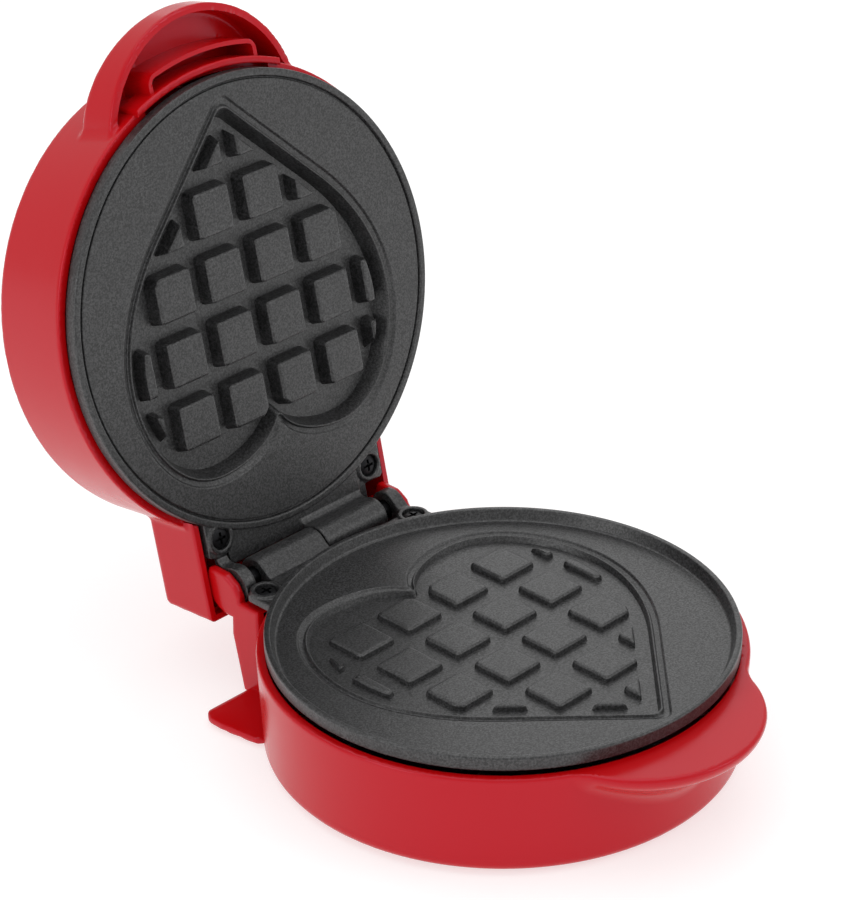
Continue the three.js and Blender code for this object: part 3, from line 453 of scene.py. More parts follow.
def nonstick_coating():
    """Sprayed PTFE coating on die-cast aluminium: dull charcoal with fine lighter grains, and
    paler in wide faint clouds. The grains are drawn coarser than the spray's, so that they show."""
    material, tree, at = finish_of("sprayed_nonstick_coating")
    grain = add(tree, "ShaderNodeTexNoise", {
        "Vector": at, "Scale": per_mm(0.55), "Detail": 3.0, "Roughness": 0.7})
    specks = add(tree, "ShaderNodeMapRange", {"Value": grain, "From Min": 0.42, "From Max": 0.66})
    speckled = add(tree, "ShaderNodeMix", {
        "Factor_Float": specks, "A_Color": "#060606", "B_Color": "#474748",
    }, "Result_Color", data_type="RGBA")
    cloud = add(tree, "ShaderNodeTexNoise", {"Vector": at, "Scale": per_mm(9)})
    haze = add(tree, "ShaderNodeMapRange", {
        "Value": cloud, "From Min": NOISE_LOW, "From Max": NOISE_HIGH, "To Max": 0.25})
    surface(tree, tint=haze, colours=(speckled, "#1A1A1B"), gloss=grain, rough=(0.44, 0.26),
            even={"IOR": 1.6}, relief=(grain, 0.05))
    return material


def black_oxide_steel():
    """Black-oxide steel, dipped and oiled: nearly black with a soft oily sheen."""
    return grained("black_oxide_steel", size=0.5, detail=2.0, colours=("#1B1B1D", "#2C2C2E"),
                   rough=(0.30, 0.46), even={"Metallic": 0.85}, depth=0.01)


def zinc_plated_steel():
    """Steel screws, barrel plated with zinc: pale grey with a fine crystalline mottling."""
    return grained("zinc_plated_steel", size=0.8, detail=3.0, colours=("#A9ABAD", "#BFC1C3"),
                   rough=(0.28, 0.42), even={"Metallic": 1.0}, depth=0.01)


def annealed_steel():
    """Heater sheath of drawn steel tube, annealed: a warm dull grey, mottled by the heat."""
    return grained("annealed_heater_sheath", size=0.8, detail=3.0, colours=("#6E6A66", "#8B8680"),
                   rough=(0.36, 0.50), even={"Metallic": 1.0}, depth=0.01)


def moulded_rubber():
    """Black rubber, compression moulded: matt, with a fine bloom."""
    return grained("moulded_rubber", size=0.5, detail=3.0, colours=("#161616", "#242424"),
                   rough=(0.72, 0.88), even={"IOR": 1.52}, depth=0.03)


def rolled_aluminium():
    """Mill-finish aluminium sheet, rolled and pressed: fine lines along the rolling."""
    material, tree, at = finish_of("rolled_aluminium")
    drawn = add(tree, "ShaderNodeMapping", {"Vector": at, "Scale": (ROLLED_STRETCH, 1, 1)})
    lines = add(tree, "ShaderNodeTexNoise", {"Vector": drawn, "Scale": per_mm(0.5)})
    surface(tree, tint=lines, colours=("#BDBFC1", "#D4D6D8"), gloss=lines, rough=(0.26, 0.40),
            even={"Metallic": 1.0}, relief=(lines, 0.01))
    return material


def fired_ceramic():
    """Steatite ceramic, pressed and fired: off-white, dull, faintly speckled."""
    return grained("fired_steatite", size=0.7, detail=3.0, colours=("#DAD3C3", "#ECE6D9"),
                   rough=(0.55, 0.68), even={"IOR": 1.58}, depth=0.02)


def clear_red_plastic():
    """Tinted polycarbonate, injection moulded: deep red, clear and very smooth."""
    return grained("clear_red_polycarbonate", size=5, detail=1.0, colours=("#6A0508", "#7A090D"),
                   rough=(0.12, 0.20),
                   even={"IOR": 1.58, "Transmission Weight": 0.35, "Specular IOR Level": 0.25})


def lamp_glass():
    """Drawn soda glass over a neon electrode: pale amber, clear."""
    return grained("drawn_lamp_glass", size=3, detail=1.0, colours=("#E8A070", "#F0B890"),
                   rough=(0.05, 0.10), even={"IOR": 1.5, "Transmission Weight": 0.6})


def braided_sleeve():
    """Glass-fibre sleeve, braided: off-white with a crossing of fine strands."""
    material, tree, at = finish_of("braided_glass_fibre")
    wave = add(tree, "ShaderNodeTexWave", {
        "Vector": at, "Scale": per_mm(0.698) / WAVE_BANDS, "Distortion": 0.4,
    }, "Fac", bands_direction="DIAGONAL")
    fibres = add(tree, "ShaderNodeTexNoise", {"Vector": at, "Scale": per_mm(0.4)})
    strands = add(tree, "ShaderNodeMath", {"Value": wave, "Value_001": fibres},
                  operation="MULTIPLY")
    surface(tree, tint=strands, colours=("#CFCBBE", "#F0EEE6"), gloss=fibres, rough=(0.70, 0.85),
            even={"IOR": 1.5}, relief=(strands, 0.1))
    return material


red = gloss_red_abs()
coating = nonstick_coating()
black_steel = black_oxide_steel()
zinc = zinc_plated_steel()
sheath = annealed_steel()
rubber = moulded_rubber()
aluminium = rolled_aluminium()
ceramic = fired_ceramic()
clear_red = clear_red_plastic()
glass = lamp_glass()
sleeve = braided_sleeve()


# The heart and its pegs

# Outline of the heart
HEART_HALF = 47.6
HEART_TIP_Y = -57.2
TIP_ROUND = 3.2
SIDE_END = 30.0
WIDEST_Y = 10.0
CROWN_X = 21.5
CROWN_Y = 43.6
CLEFT_Y = 34.6
CLEFT_ROUND = 1.2
CLEFT_FOLLOW = 1.15
CLEFT_CORNER_SHARE = 0.6
CLEFT_ARRIVAL = (3, 5)
SIDE_SHARES = (0.34, 0.34)
CROWN_SHARES = (0.385, 0.385)
CLEFT_SHARES = (0.41, 0.26)
TIP_STEPS = 6
STRAIGHT_STEPS = 26
SIDE_STEPS = 22
CROWN_STEPS = 24
CLEFT_STEPS = 6
# Recess from its floor to the plate's face
LEDGE_DROP = 0.1
LEDGE_WIDTH = 2.4
LEDGE_BEAD = 0.85
BEAD_TOP = 0.35
BEAD_FOOT = 0.7
FLOOR_ROUND = 0.6
LEDGE_ROUND = 0.35
BEAD_TOP_ROUND = 0.15
BEAD_FOOT_ROUND = 0.3
SHOULDER_ROUND = 0.6
FACE_ROUND = 0.5
SHOULDER_INSET = 0.4
SHOULDER_DROP = 0.55
FACE_CORNER = 0.1
FACE_EDGE = 0.6
CAVITY_DEPTH = 6.3
CAVITY_RUN = 5.3
FLOOR_EDGE = 2.4
# Pegs
PEG_PITCH = 17.43
PEG_FIRST_ROW = -44.8
PEG_BASE = 14.4
PEG_DRAFT = 1.3
PEG_CLEARANCE = 0.5
PEG_COLUMNS = (2, 4, 4, 6, 6)
PEG_CORNER = 2.0
PEG_CUT_CORNER = 1.1
PEG_FOOT_ROUND = 0.4
PEG_TOP_ROUND = 0.8
PEG_TOP_INSET = 1.4
PEG_TOP_SHARE = 0.8
PEG_SKIRT = 1.0
PEG_SKIRT_DEPTH = 0.8
SKIRT_LEAN = 0.1
SKIRT_OVER_FLOOR = 0.01
PEG_REACH_SHARE = 2.2
# How a peg's outline is found, and the least that counts as one
LEAST_PEG_DEPTH = 0.3
LEAST_PEG_SAMPLES = 20
PEG_SAMPLES = 41
PEG_RAYS = 72
BISECTIONS = 22
# Back of the recess
FLOOR_THICKNESS = 2.4
FLOOR_BACK_INSET = 3.1
RIM_BACK_INSET = -1.4
RIM_BACK_Z = -4.6


def curve(start, leaving, end, arriving, shares, steps):
    """Points of a cubic curve after its start; the shares say how far it keeps each direction."""
    start, end = np.array(start, float), np.array(end, float)
    reach = np.linalg.norm(end - start)
    leaving = np.array(leaving, float) / np.hypot(*leaving) * reach * shares[0]
    arriving = np.array(arriving, float) / np.hypot(*arriving) * reach * shares[1]
    t = np.linspace(0, 1, steps + 1)[1:, None]
    return ((1 - t) ** 3 * start + 3 * (1 - t) ** 2 * t * (start + leaving)
            + 3 * (1 - t) * t ** 2 * (end + arriving) + t ** 3 * end)


def heart(inset):
    """The heart's outline, anticlockwise from its tip, with every wall moved in by inset."""
    tip_y = HEART_TIP_Y + inset * math.sqrt(2)
    angles = np.radians(np.linspace(-90, -45, TIP_STEPS + 1))
    tip = np.stack([TIP_ROUND * np.cos(angles),
                    tip_y + TIP_ROUND * math.sqrt(2) + TIP_ROUND * np.sin(angles)], 1)
    slant = inset / math.sqrt(2)
    side = np.array([SIDE_END - slant, HEART_TIP_Y + SIDE_END + slant])
    along = np.linspace(0, 1, STRAIGHT_STEPS + 1)[1:, None]
    straight = tip[-1] + (side - tip[-1]) * along
    widest = (HEART_HALF - inset, WIDEST_Y)
    crown = (CROWN_X, CROWN_Y - inset)
    cleft_y = CLEFT_Y - CLEFT_FOLLOW * inset
    edge = np.array([CLEFT_ROUND, cleft_y + CLEFT_ROUND * math.sqrt(0.5)])
    corner = np.array([edge[0] - (edge[1] - cleft_y) * CLEFT_CORNER_SHARE, cleft_y])
    t = np.linspace(0, 1, CLEFT_STEPS + 1)[1:, None]
    cleft = (1 - t) ** 2 * edge + 2 * (1 - t) * t * corner + t ** 2 * np.array([0, cleft_y])
    right = np.concatenate([
        tip, straight,
        curve(side, (1, 1), widest, (0, -1), SIDE_SHARES, SIDE_STEPS),
        curve(widest, (0, 1), crown, (1, 0), CROWN_SHARES, CROWN_STEPS),
        curve(crown, (-1, 0), edge, CLEFT_ARRIVAL, CLEFT_SHARES, SIDE_STEPS), cleft,
    ])
    left = right[1:-1][::-1] * (-1, 1)
    return np.concatenate([right, left])


def heart_rings(face):
    """Recess from its floor up to the plate's face: drafted wall, beaded ledge and edge."""
    floor = face - CAVITY_DEPTH
    ledge = face - LEDGE_DROP
    profile = rounded([
        (CAVITY_RUN + FLOOR_EDGE, floor), (CAVITY_RUN, floor, FLOOR_ROUND),
        (LEDGE_WIDTH, ledge, LEDGE_ROUND), (LEDGE_WIDTH - BEAD_TOP, ledge, BEAD_TOP_ROUND),
        (LEDGE_WIDTH - BEAD_FOOT, ledge - LEDGE_BEAD, BEAD_FOOT_ROUND),
        (SHOULDER_INSET, face - SHOULDER_DROP, SHOULDER_ROUND),
        (-FACE_CORNER, face, FACE_ROUND), (-FACE_EDGE, face),
    ])
    return [level_ring(heart(inset), z) for inset, z in profile]


def peg(x, y):
    """One peg, drafted and rounded, kept inside the heart's floor; the face is at 0."""
    half = PEG_BASE / 2
    limit = heart(CAVITY_RUN + PEG_CLEARANCE)[::2]

    def room(u, v):
        across = trimmed(np.abs(u - x) - half, np.abs(v - y) - half, PEG_CORNER)
        return trimmed(across, outline_distance(u, v, limit), PEG_CUT_CORNER)

    steps = np.linspace(-half, half, PEG_SAMPLES)
    u, v = [samples.ravel() for samples in np.meshgrid(x + steps, y + steps)]
    depth = room(u, v)
    inside = depth < -LEAST_PEG_DEPTH
    if inside.sum() < LEAST_PEG_SAMPLES:
        return None
    middle = np.array([u[inside].mean(), v[inside].mean()])
    angles = np.linspace(0, 2 * math.pi, PEG_RAYS + 1)[:-1]
    floor = -CAVITY_DEPTH
    profile = rounded([
        (-PEG_SKIRT, floor - PEG_SKIRT_DEPTH), (-PEG_SKIRT, floor), (0, floor, PEG_FOOT_ROUND),
        (PEG_DRAFT, 0, PEG_TOP_ROUND), (PEG_DRAFT + PEG_TOP_INSET, 0)])
    # The fillet at its foot runs out just above the floor, and a skirt goes down through it
    profile[1] = (SKIRT_LEAN - PEG_SKIRT, floor + SKIRT_OVER_FLOOR)
    inset = np.minimum(profile[:, :1], PEG_TOP_SHARE * -depth.min())
    near = np.zeros((len(profile), len(angles)))
    far = np.full(near.shape, PEG_REACH_SHARE * half)
    for _ in range(BISECTIONS):
        reach = (near + far) / 2
        out = room(middle[0] + reach * np.cos(angles), middle[1] + reach * np.sin(angles))
        near = np.where(out < -inset, reach, near)
        far = np.where(out < -inset, far, reach)
    return skin([np.column_stack([middle[0] + ring * np.cos(angles),
                                  middle[1] + ring * np.sin(angles), np.full(len(angles), z)])
                 for ring, z in zip((near + far) / 2, profile[:, 1])])


def pegs():
    """All pegs that have room in the heart, in rows from its tip to its crowns."""
    made = []
    for row, columns in enumerate(PEG_COLUMNS):
        for column in range(columns):
            one = peg((column - (columns - 1) / 2) * PEG_PITCH, PEG_FIRST_ROW + row * PEG_PITCH)
            if one is not None:
                made.append(one)
    return join_parts(*made)


# Plates, each in a frame of its own with its rim plane at 0

# Discs
LOWER_FACE = -3.0
UPPER_FACE = -0.3
FLANGE_Z = -3.8
SKIRT_RADIUS = 57.5
SKIRT_Z = -5.6
BACK_RADIUS = 20.0
GROOVE_Z = -1.0
# Tabs and lugs
TAB_HALF = 31.9
TAB_BACK = 62.0
TAB_CORNER = 1.2
TAB_EDGE = 0.5
APRON_HALF = 25.4
TAB_STEP = 0.6
LUG_RADIUS = 4.3
LUG_EDGE = 0.45
LUG_ROOT = 0.4
SEAT_RADIUS = 3.1
SEAT_DEPTH = 1.9
SEAT_EDGE = 0.35
LUG_DROP = 1.9
LOWER_TAB_UNDER = 4.7
UPPER_TAB_UNDER = 3.8
UPPER_APRON_BACK = 66.0
# Barrels and ears
BARREL_RADIUS = 5.2
KNUCKLES_X = ((-22.5, -0.3), (26.2, 29.8))
KNUCKLE_FILLET = 2.2
KNUCKLE_ROOT = 0.8
KNUCKLE_EDGE = 0.4
PIN_PLAY = 0.3
BORE_EDGE = 0.3
PLATE_OVERLAP = 0.35
# Space and grid that hold a casting's back
CASTING_HALF = 32.8
CASTING_FRONT = 46.5
CASTING_BACK = 75.2
CASTING_MARGIN = 0.6
CASTING_CELL = 0.42
# How each plate's frame is flipped and lifted
LOWER_PLACE = ((1, 1, 1), LOWER_RIM_PLANE)
UPPER_PLACE = ((-1, 1, -1), UPPER_RIM_PLANE)


def placed(points, place):
    """Points in a piece's own frame, flipped and lifted to where they are in the shut appliance."""
    flip, lift = place
    return points * flip + (0, 0, lift)


def cast_disc(face, outer):
    """The round casting: recess, face and lip on top, flange and skirt below, in one skin."""
    rings = heart_rings(face)
    angles = np.arctan2(rings[-1][:, 1], rings[-1][:, 0])
    for radius, z in outer:
        rings.append(level_ring(np.stack([radius * np.cos(angles), radius * np.sin(angles)], 1), z))
    back = skin([level_ring(heart(FLOOR_BACK_INSET), face - CAVITY_DEPTH - FLOOR_THICKNESS),
                 level_ring(heart(RIM_BACK_INSET), RIM_BACK_Z)])
    return join_parts(skin(rings), back)


def hinge_casting(lug_y, lug_drop, under, pin_z, web, apron_back):
    """Tab, lugs, barrel and ear at the back of a plate."""
    tab_top = -lug_drop - TAB_STEP
    web = np.array(web, float)

    def shape(p):
        x, y, z = p.T
        plan = trimmed(np.abs(x) - TAB_HALF, y - TAB_BACK, TAB_CORNER)
        plan = joined(plan, shared(np.abs(x) - APRON_HALF, y - apron_back))
        tab = trimmed(plan, shared(z - tab_top, -under - z), TAB_EDGE)
        from_lug = joined(np.hypot(x + LUG_X, y - lug_y), np.hypot(x - LUG_X, y - lug_y))
        lugs = trimmed(from_lug - LUG_RADIUS, shared(z + lug_drop, -under - z), LUG_EDGE)
        body = blended(tab, lugs, LUG_ROOT)
        from_pin = np.hypot(y - HINGE_Y, z - pin_z)
        knuckle = blended(from_pin - BARREL_RADIUS, outline_distance(y, z, web), KNUCKLE_FILLET)
        for left, right in KNUCKLES_X:
            cut = trimmed(knuckle, shared(left - x, x - right), KNUCKLE_EDGE)
            body = blended(body, cut, KNUCKLE_ROOT)
        body = trimmed(body, PIN_RADIUS + PIN_PLAY - from_pin, BORE_EDGE)
        seat = shared(from_lug - SEAT_RADIUS, -lug_drop - SEAT_DEPTH - z)
        disc = PLATE_RADIUS - PLATE_OVERLAP - np.hypot(x, y)
        return shared(trimmed(body, -seat, SEAT_EDGE), disc)

    bottom = min(-under, pin_z - BARREL_RADIUS) - CASTING_MARGIN
    top = max(CASTING_MARGIN, pin_z + BARREL_RADIUS + CASTING_MARGIN)
    return moulded(shape, (-CASTING_HALF, CASTING_FRONT, bottom),
                   (CASTING_HALF, CASTING_BACK, top), CASTING_CELL)


def plate(name, face, outer, casting, place, body):
    """Both pieces of a plate: the disc with its pegs, and the casting at its back."""
    disc = join_parts(cast_disc(face, outer), (heart_pegs[0] + (0, 0, face), heart_pegs[1]))
    new_piece(name, placed(disc[0], place), disc[1], coating, body, "nonstick_coating", [name])
    points, faces, normals = casting
    new_piece(name + "_hinge_casting", placed(points, place), faces, coating, body,
              "nonstick_coating", normals=normals * place[0])


heart_pegs = pegs()
flange = [(PLATE_RADIUS, 0, 0.55), (PLATE_RADIUS, FLANGE_Z, 0.4), (SKIRT_RADIUS, FLANGE_Z, 0.2),
          (SKIRT_RADIUS, SKIRT_Z, 0.4), (BACK_RADIUS, SKIRT_Z)]
raised_lip = [(57.0, LOWER_FACE), (58.2, LOWER_FACE, 1.0), (59.45, 0, 0.5)]
fine_groove = [(57.8, UPPER_FACE), (58.3, UPPER_FACE, 0.3), (58.45, GROOVE_Z, 0.25),
               (58.75, GROOVE_Z, 0.25), (59.1, 0, 0.5)]
lower_pin_z = HINGE_Z - LOWER_RIM_PLANE
upper_pin_z = UPPER_RIM_PLANE - HINGE_Z
lower_web = [(52, -LOWER_TAB_UNDER), (66.6, -LOWER_TAB_UNDER), (69.2, lower_pin_z - BARREL_RADIUS),
             (69.2, lower_pin_z), (66.08, -2.5), (52, -2.5)]
upper_web = [(55, -UPPER_TAB_UNDER), (62, -2.28), (69.2, upper_pin_z - 4.68), (69.2, upper_pin_z),
             (62.5, -TAB_STEP), (55, -TAB_STEP)]
lower_casting = hinge_casting(LOWER_LUG_Y, LUG_DROP, LOWER_TAB_UNDER, lower_pin_z, lower_web,
                              TAB_BACK)
upper_casting = hinge_casting(UPPER_LUG_Y, 0.0, UPPER_TAB_UNDER, upper_pin_z, upper_web,
                              UPPER_APRON_BACK)
plate("lower_plate", LOWER_FACE, rounded(raised_lip + flange), lower_casting, LOWER_PLACE, "base")
plate("upper_plate", UPPER_FACE, rounded(fine_groove + flange), upper_casting, UPPER_PLACE, "lid")


# Base housing

# Drum and grip
BASE_FOOT_RADIUS = 62.2
BASE_RIM_RADIUS = 63.2
TAPER_START = 3.8
DRUM_EDGE = 2.6
BASE_RIM_EDGE = 0.9
BASE_GRIP_Y = -45.3
CONE_RADIUS = 17
CONE_Z = 13.9
CONE_RUN = 14.8
CONE_RISE = 12
GRIP_EDGE = 1.4
GRIP_FOOT = 12
GRIP_FILLET = 2.4
# Towers, wings and the hinge's well
TOWER_HALF = 32.4
TOWER_HEAD = 8
TOWER_RISE = 4.1
TOWER_EDGE = 0.9
WING_TOP = 3.0
WING_EDGE = 0.5
WELL_HALF = 30.2
WELL_RADIUS = 5.7
WELL_FRONT = PLATE_RADIUS + 1
WELL_BACK = 74.9
WELL_FLOOR = 27.3
SILL_Z = 30.2
WELL_EDGE = 0.5
# Hollows
COVER_TOP = 3.5
LINING_HEIGHTS = (COVER_TOP, 5.8, BASE_RIM)
LINING_RADII = (58.3, 59.9, 60.9)
PASSAGE_Y = 46.35
PASSAGE_HALF = 15.35
BACK_POCKET_RADIUS = 62.7
# Back wall and cord inlet
BACK_WALL_Y = 64.5
BACK_WALL_SLOPE = math.atan2(3.5, 15.8)
INLET_Z = 9.5
INLET_RISE = 8.3
INLET_RADIUS = 5.9
INLET_HALF = 5.15
FLANGE_ROOM_HALF = 7.4
FLANGE_ROOM_Y = 58.55
FLANGE_ROOM_HALF_Y = 3.45
FLANGE_ROOM_Z = 10.05
FLANGE_ROOM_HALF_Z = 6.85
# Space and grid that hold the housing
BASE_LOW = (-64.6, -79.2, 0.2)
BASE_HIGH = (64.6, 78.6, 35.2)
BASE_CELL = 0.72


def base_shape(p):
    """Drum, grip, towers and wings, less the hinge's well and the hollows."""
    x, y, z = p.T
    radius = np.hypot(x, y)
    wall = np.interp(z, (TAPER_START, BASE_RIM), (BASE_FOOT_RADIUS, BASE_RIM_RADIUS))
    body = trimmed(radius - wall, BODY_BOTTOM - z, DRUM_EDGE)

    from_grip = np.hypot(x, y - BASE_GRIP_Y)
    cone = ((from_grip - CONE_RADIUS) * CONE_RISE - (z - CONE_Z) * CONE_RUN) / math.hypot(
        CONE_RISE, CONE_RUN)
    grip = shared(trimmed(cone, from_grip - GRIP_RADIUS, GRIP_EDGE), GRIP_FOOT - z)
    body = trimmed(blended(body, grip, GRIP_FILLET), z - BASE_RIM, BASE_RIM_EDGE)

    tower = trimmed(outline_distance(y, z, tower_outline), np.abs(x) - TOWER_HALF, TOWER_EDGE)
    wing = trimmed(outline_distance(np.abs(x), y, wing_outline),
                   shared(z - WING_TOP, BODY_BOTTOM - z), WING_EDGE)
    body = shared(joined(blended(body, tower, TOWER_EDGE), wing), BODY_BOTTOM - z)

    well = joined(np.hypot(y - HINGE_Y, z - HINGE_Z) - WELL_RADIUS,
                  shared(WELL_FRONT - y, y - WELL_BACK, WELL_FLOOR - z),
                  shared(WELL_FRONT - y, SILL_Z - z))
    body = trimmed(body, -shared(well, np.abs(x) - WELL_HALF), WELL_EDGE)

    inside = radius - np.interp(z, LINING_HEIGHTS, LINING_RADII)
    grip_hollow = shared(outline_distance(from_grip, z, base_grip_hollow), y)
    passage = shared(np.abs(x) - WELL_HALF, np.abs(y - PASSAGE_Y) - PASSAGE_HALF, z - COVER_TOP)
    pocket = shared(outline_distance(y, z, pocket_outline), np.abs(x) - WELL_HALF,
                    BACK_POCKET_RADIUS - radius, COVER_TOP - z)
    return shared(body, -joined(inside, grip_hollow, passage, pocket, inlet(x, y, z)))


def inlet(x, y, z):
    """Hole for the cord's bushing through the sloping back wall, and room for its inner end."""
    back = y - BACK_WALL_Y - INLET_RISE * math.tan(BACK_WALL_SLOPE)
    up = z - INLET_Z
    along = back * math.cos(BACK_WALL_SLOPE) - up * math.sin(BACK_WALL_SLOPE)
    across = np.hypot(x, back * math.sin(BACK_WALL_SLOPE) + up * math.cos(BACK_WALL_SLOPE))
    hole = shared(across - INLET_RADIUS, np.abs(along) - INLET_HALF)
    room = shared(np.abs(x) - FLANGE_ROOM_HALF, np.abs(y - FLANGE_ROOM_Y) - FLANGE_ROOM_HALF_Y,
                  np.abs(z - FLANGE_ROOM_Z) - FLANGE_ROOM_HALF_Z)
    return joined(hole, room)


head_end = math.degrees(math.asin(TOWER_RISE / TOWER_HEAD))
head = [(HINGE_Y + TOWER_HEAD * math.cos(a), HINGE_Z + TOWER_HEAD * math.sin(a))
        for a in np.radians(np.linspace(-100, head_end, 16))]
tower_outline = rounded(
    [(57.5, BODY_BOTTOM - 1), (BACK_WALL_Y, BODY_BOTTOM - 1), (BACK_WALL_Y, BODY_BOTTOM, 0),
     (68, 17, 1.5)] + head[:-1]
    + [(*head[-1], 1.2), (69.7, LOWER_RIM_PLANE, 2.5), (66.4, 32.0, 1.0),
       (BACK_WALL_Y, BASE_RIM, 0.8), (BACK_WALL_Y, 27.4), (57.5, 27.4)], closed=True)
wing_outline = rounded([(26, 41, 0), (48, 41, 2.5), (49.8, 54, 3), (49.8, 61.4, 6.5),
                        (26, 61.4, 0)], steps=6, closed=True)
base_grip_hollow = np.array([(-1, 16.2), (14.7, 16.2), (27.7, 25.9), (30.0, 26.6), (-1, 26.6)])
pocket_outline = np.array([(31, -1), (61.7, -1), (61.7, 1.2), (65.2, 17), (59.7, 24.1),
                           (59.7, 26.6), (31, 26.6)])
points, faces, normals = moulded(base_shape, BASE_LOW, BASE_HIGH, BASE_CELL)
new_piece("base_housing", points, faces, red, "base", "red_plastic", ["base_housing"],
          normals=normals)


# Lid shell

# Shoulder and grip
LID_SHOULDER = 63.9
LID_SHOULDER_RADIUS = 61.3
SHOULDER_RUN = 10.4
SHOULDER_RISE = 3.5
CAP_GAP = 0.3
LID_GRIP_Y = -46.8
LID_GRIP_TOP = 49.8
LID_GRIP_RISE = 4.7
LID_GRIP_LOW = 41.3
LID_GRIP_REACH = 12
LID_GRIP_EDGE = 2.0
LID_GRIP_LOW_EDGE = 0.6
LID_GRIP_FILLET = 1.5
# Hinge cover and hollows
COVER_HALF = 34.7
COVER_LOW = 35.9
COVER_EDGE = 1.5
COVER_LOW_EDGE = 0.45
COVER_FILLET = 1.2
POCKET_HALF = 32.9
POCKET_CUT_Y = 38.7
PLATE_ROOM_RADIUS = 61.3
CAP_SEAT_RADIUS = 50.9
CAP_SEAT_Z = 65.0
CAP_OPENING_RADIUS = 47.7
CAP_OPENING_Z = 61.0
SCOOP_RADIUS = 30.3
SCOOP_DROP = 2.0
SCOOP_EDGE = 1.5
# Window and the U-shaped rib round it
WINDOW_HALF = 16.8
WINDOW_LOW = 44.2
WINDOW_DROP = 2.2
WINDOW_EDGE = 0.8
WINDOW_RADII = (57, 66.8)
RIB_RADIUS = 68.2
RIB_HALF = 18.5
RIB_CORNER = 2.4
RIB_THICKNESS = 1.2
RIB_INNER_RADIUS = 61.5
RIB_DROP = 1.0
# Notch and lip at the rim
NOTCH_RADII = (60.4, 62.1)
NOTCH_HALF = 21.4
NOTCH_TOP = 42
LIP_RADIUS = 62.9
LIP_HALF_WIDTH = 0.9
LIP_LOW = 37.4
LIP_HALF = 24.6
LIP_TOP = 45
LIP_EDGE = 0.4
# Space and grid that hold the shell
LID_LOW = (-64.2, -80.4, 35.2)
LID_HIGH = (64.2, 80.4, 68.4)
LID_CELL = 0.76


def lid_shape(p):
    """Drum, grip and hinge cover, less their hollows, with the rib and lip by the grip."""
    x, y, z = p.T
    radius = np.hypot(x, y)
    from_grip = np.hypot(x, y - LID_GRIP_Y)
    saddle = np.sqrt(1 + (2 * LID_GRIP_RISE * x / GRIP_RADIUS ** 2) ** 2)

    def above_grip(drop):
        """Height above the grip's saddle, or above the face that lies lower by drop."""
        return (z - (LID_GRIP_TOP - drop + LID_GRIP_RISE * (x / GRIP_RADIUS) ** 2)) / saddle

    grip = trimmed(from_grip - GRIP_RADIUS, above_grip(0.0), LID_GRIP_EDGE)
    grip = trimmed(grip, LID_GRIP_LOW - z, LID_GRIP_LOW_EDGE)
    grip = shared(grip, y - LID_GRIP_Y - LID_GRIP_REACH)
    cover = trimmed(outline_distance(y, z, cover_outline), np.abs(x) - COVER_HALF, COVER_EDGE)
    cover = trimmed(cover, COVER_LOW - z, COVER_LOW_EDGE)
    body = blended(outline_distance(radius, z, lid_outline), grip, LID_GRIP_FILLET)
    body = blended(body, cover, COVER_FILLET)

    inside = outline_distance(radius, z, lid_hollow)
    cap_seat = shared(radius - CAP_SEAT_RADIUS, CAP_SEAT_Z - z)
    cap_opening = shared(radius - CAP_OPENING_RADIUS, CAP_OPENING_Z - z)
    scoop = trimmed(from_grip - SCOOP_RADIUS, above_grip(SCOOP_DROP), SCOOP_EDGE)
    scoop = shared(scoop, LID_RIM_RADIUS - radius, y)
    pocket = shared(outline_distance(y, z, cover_hollow), np.abs(x) - POCKET_HALF,
                    LID_RIM_RADIUS - radius)
    low_cut = shared(np.abs(x) - POCKET_HALF, np.abs(y - POCKET_CUT_Y) - POCKET_CUT_Y, z - LID_RIM)
    plate_room = shared(radius - PLATE_ROOM_RADIUS, z - LID_RIM)
    window = trimmed(np.abs(x) - WINDOW_HALF, WINDOW_LOW - z, WINDOW_EDGE)
    window = shared(window, above_grip(WINDOW_DROP), y, WINDOW_RADII[0] - radius,
                    radius - WINDOW_RADII[1])
    body = shared(body, -joined(inside, cap_seat, cap_opening, scoop, pocket, low_cut, plate_room,
                                window))

    rib = trimmed(radius - RIB_RADIUS, np.abs(x) - RIB_HALF, RIB_CORNER)
    rib_slot = trimmed(radius - (RIB_RADIUS - RIB_THICKNESS),
                       np.abs(x) - (RIB_HALF - RIB_THICKNESS), RIB_CORNER - RIB_THICKNESS)
    rib = shared(rib, -rib_slot, RIB_INNER_RADIUS - radius, y, LID_RIM - z, above_grip(RIB_DROP))
    notch = shared(radius - NOTCH_RADII[1], NOTCH_RADII[0] - radius, np.abs(x) - NOTCH_HALF,
                   z - NOTCH_TOP, y)
    lip = trimmed(np.abs(radius - LIP_RADIUS) - LIP_HALF_WIDTH,
                  shared(LIP_LOW - z, np.abs(x) - LIP_HALF), LIP_EDGE)
    return joined(shared(joined(body, rib), -notch), shared(lip, y, z - LIP_TOP))


lid_outline = np.concatenate([
    rounded([(-5, LID_RIM), (LID_RIM_RADIUS, LID_RIM, 0.6), (LID_SHOULDER_RADIUS, LID_SHOULDER)]),
    [(CAP_RADIUS + CAP_GAP + SHOULDER_RUN * math.cos(a), LID_SHOULDER + SHOULDER_RISE * math.sin(a))
     for a in np.radians(np.linspace(0, 90, 13))[1:]], [(-5, LID_TOP)]])
lid_hollow = np.array([(-5, 36.8), (60.4, 36.8), (60.4, 38.8), (59.0, 60.7), (56.7, 63.0),
                       (-5, 63.0)])
cover_outline = rounded([(31, 33), (79.56, 33), (76.9, 54.4, 2.0), (31, 54.4)], closed=True)
cover_hollow = rounded([(31, 30), (77.9, 30), (77.4, 33.9), (75.1, 52.6, 1.0), (31, 52.6)],
                       closed=True)
points, faces, normals = moulded(lid_shape, LID_LOW, LID_HIGH, LID_CELL)
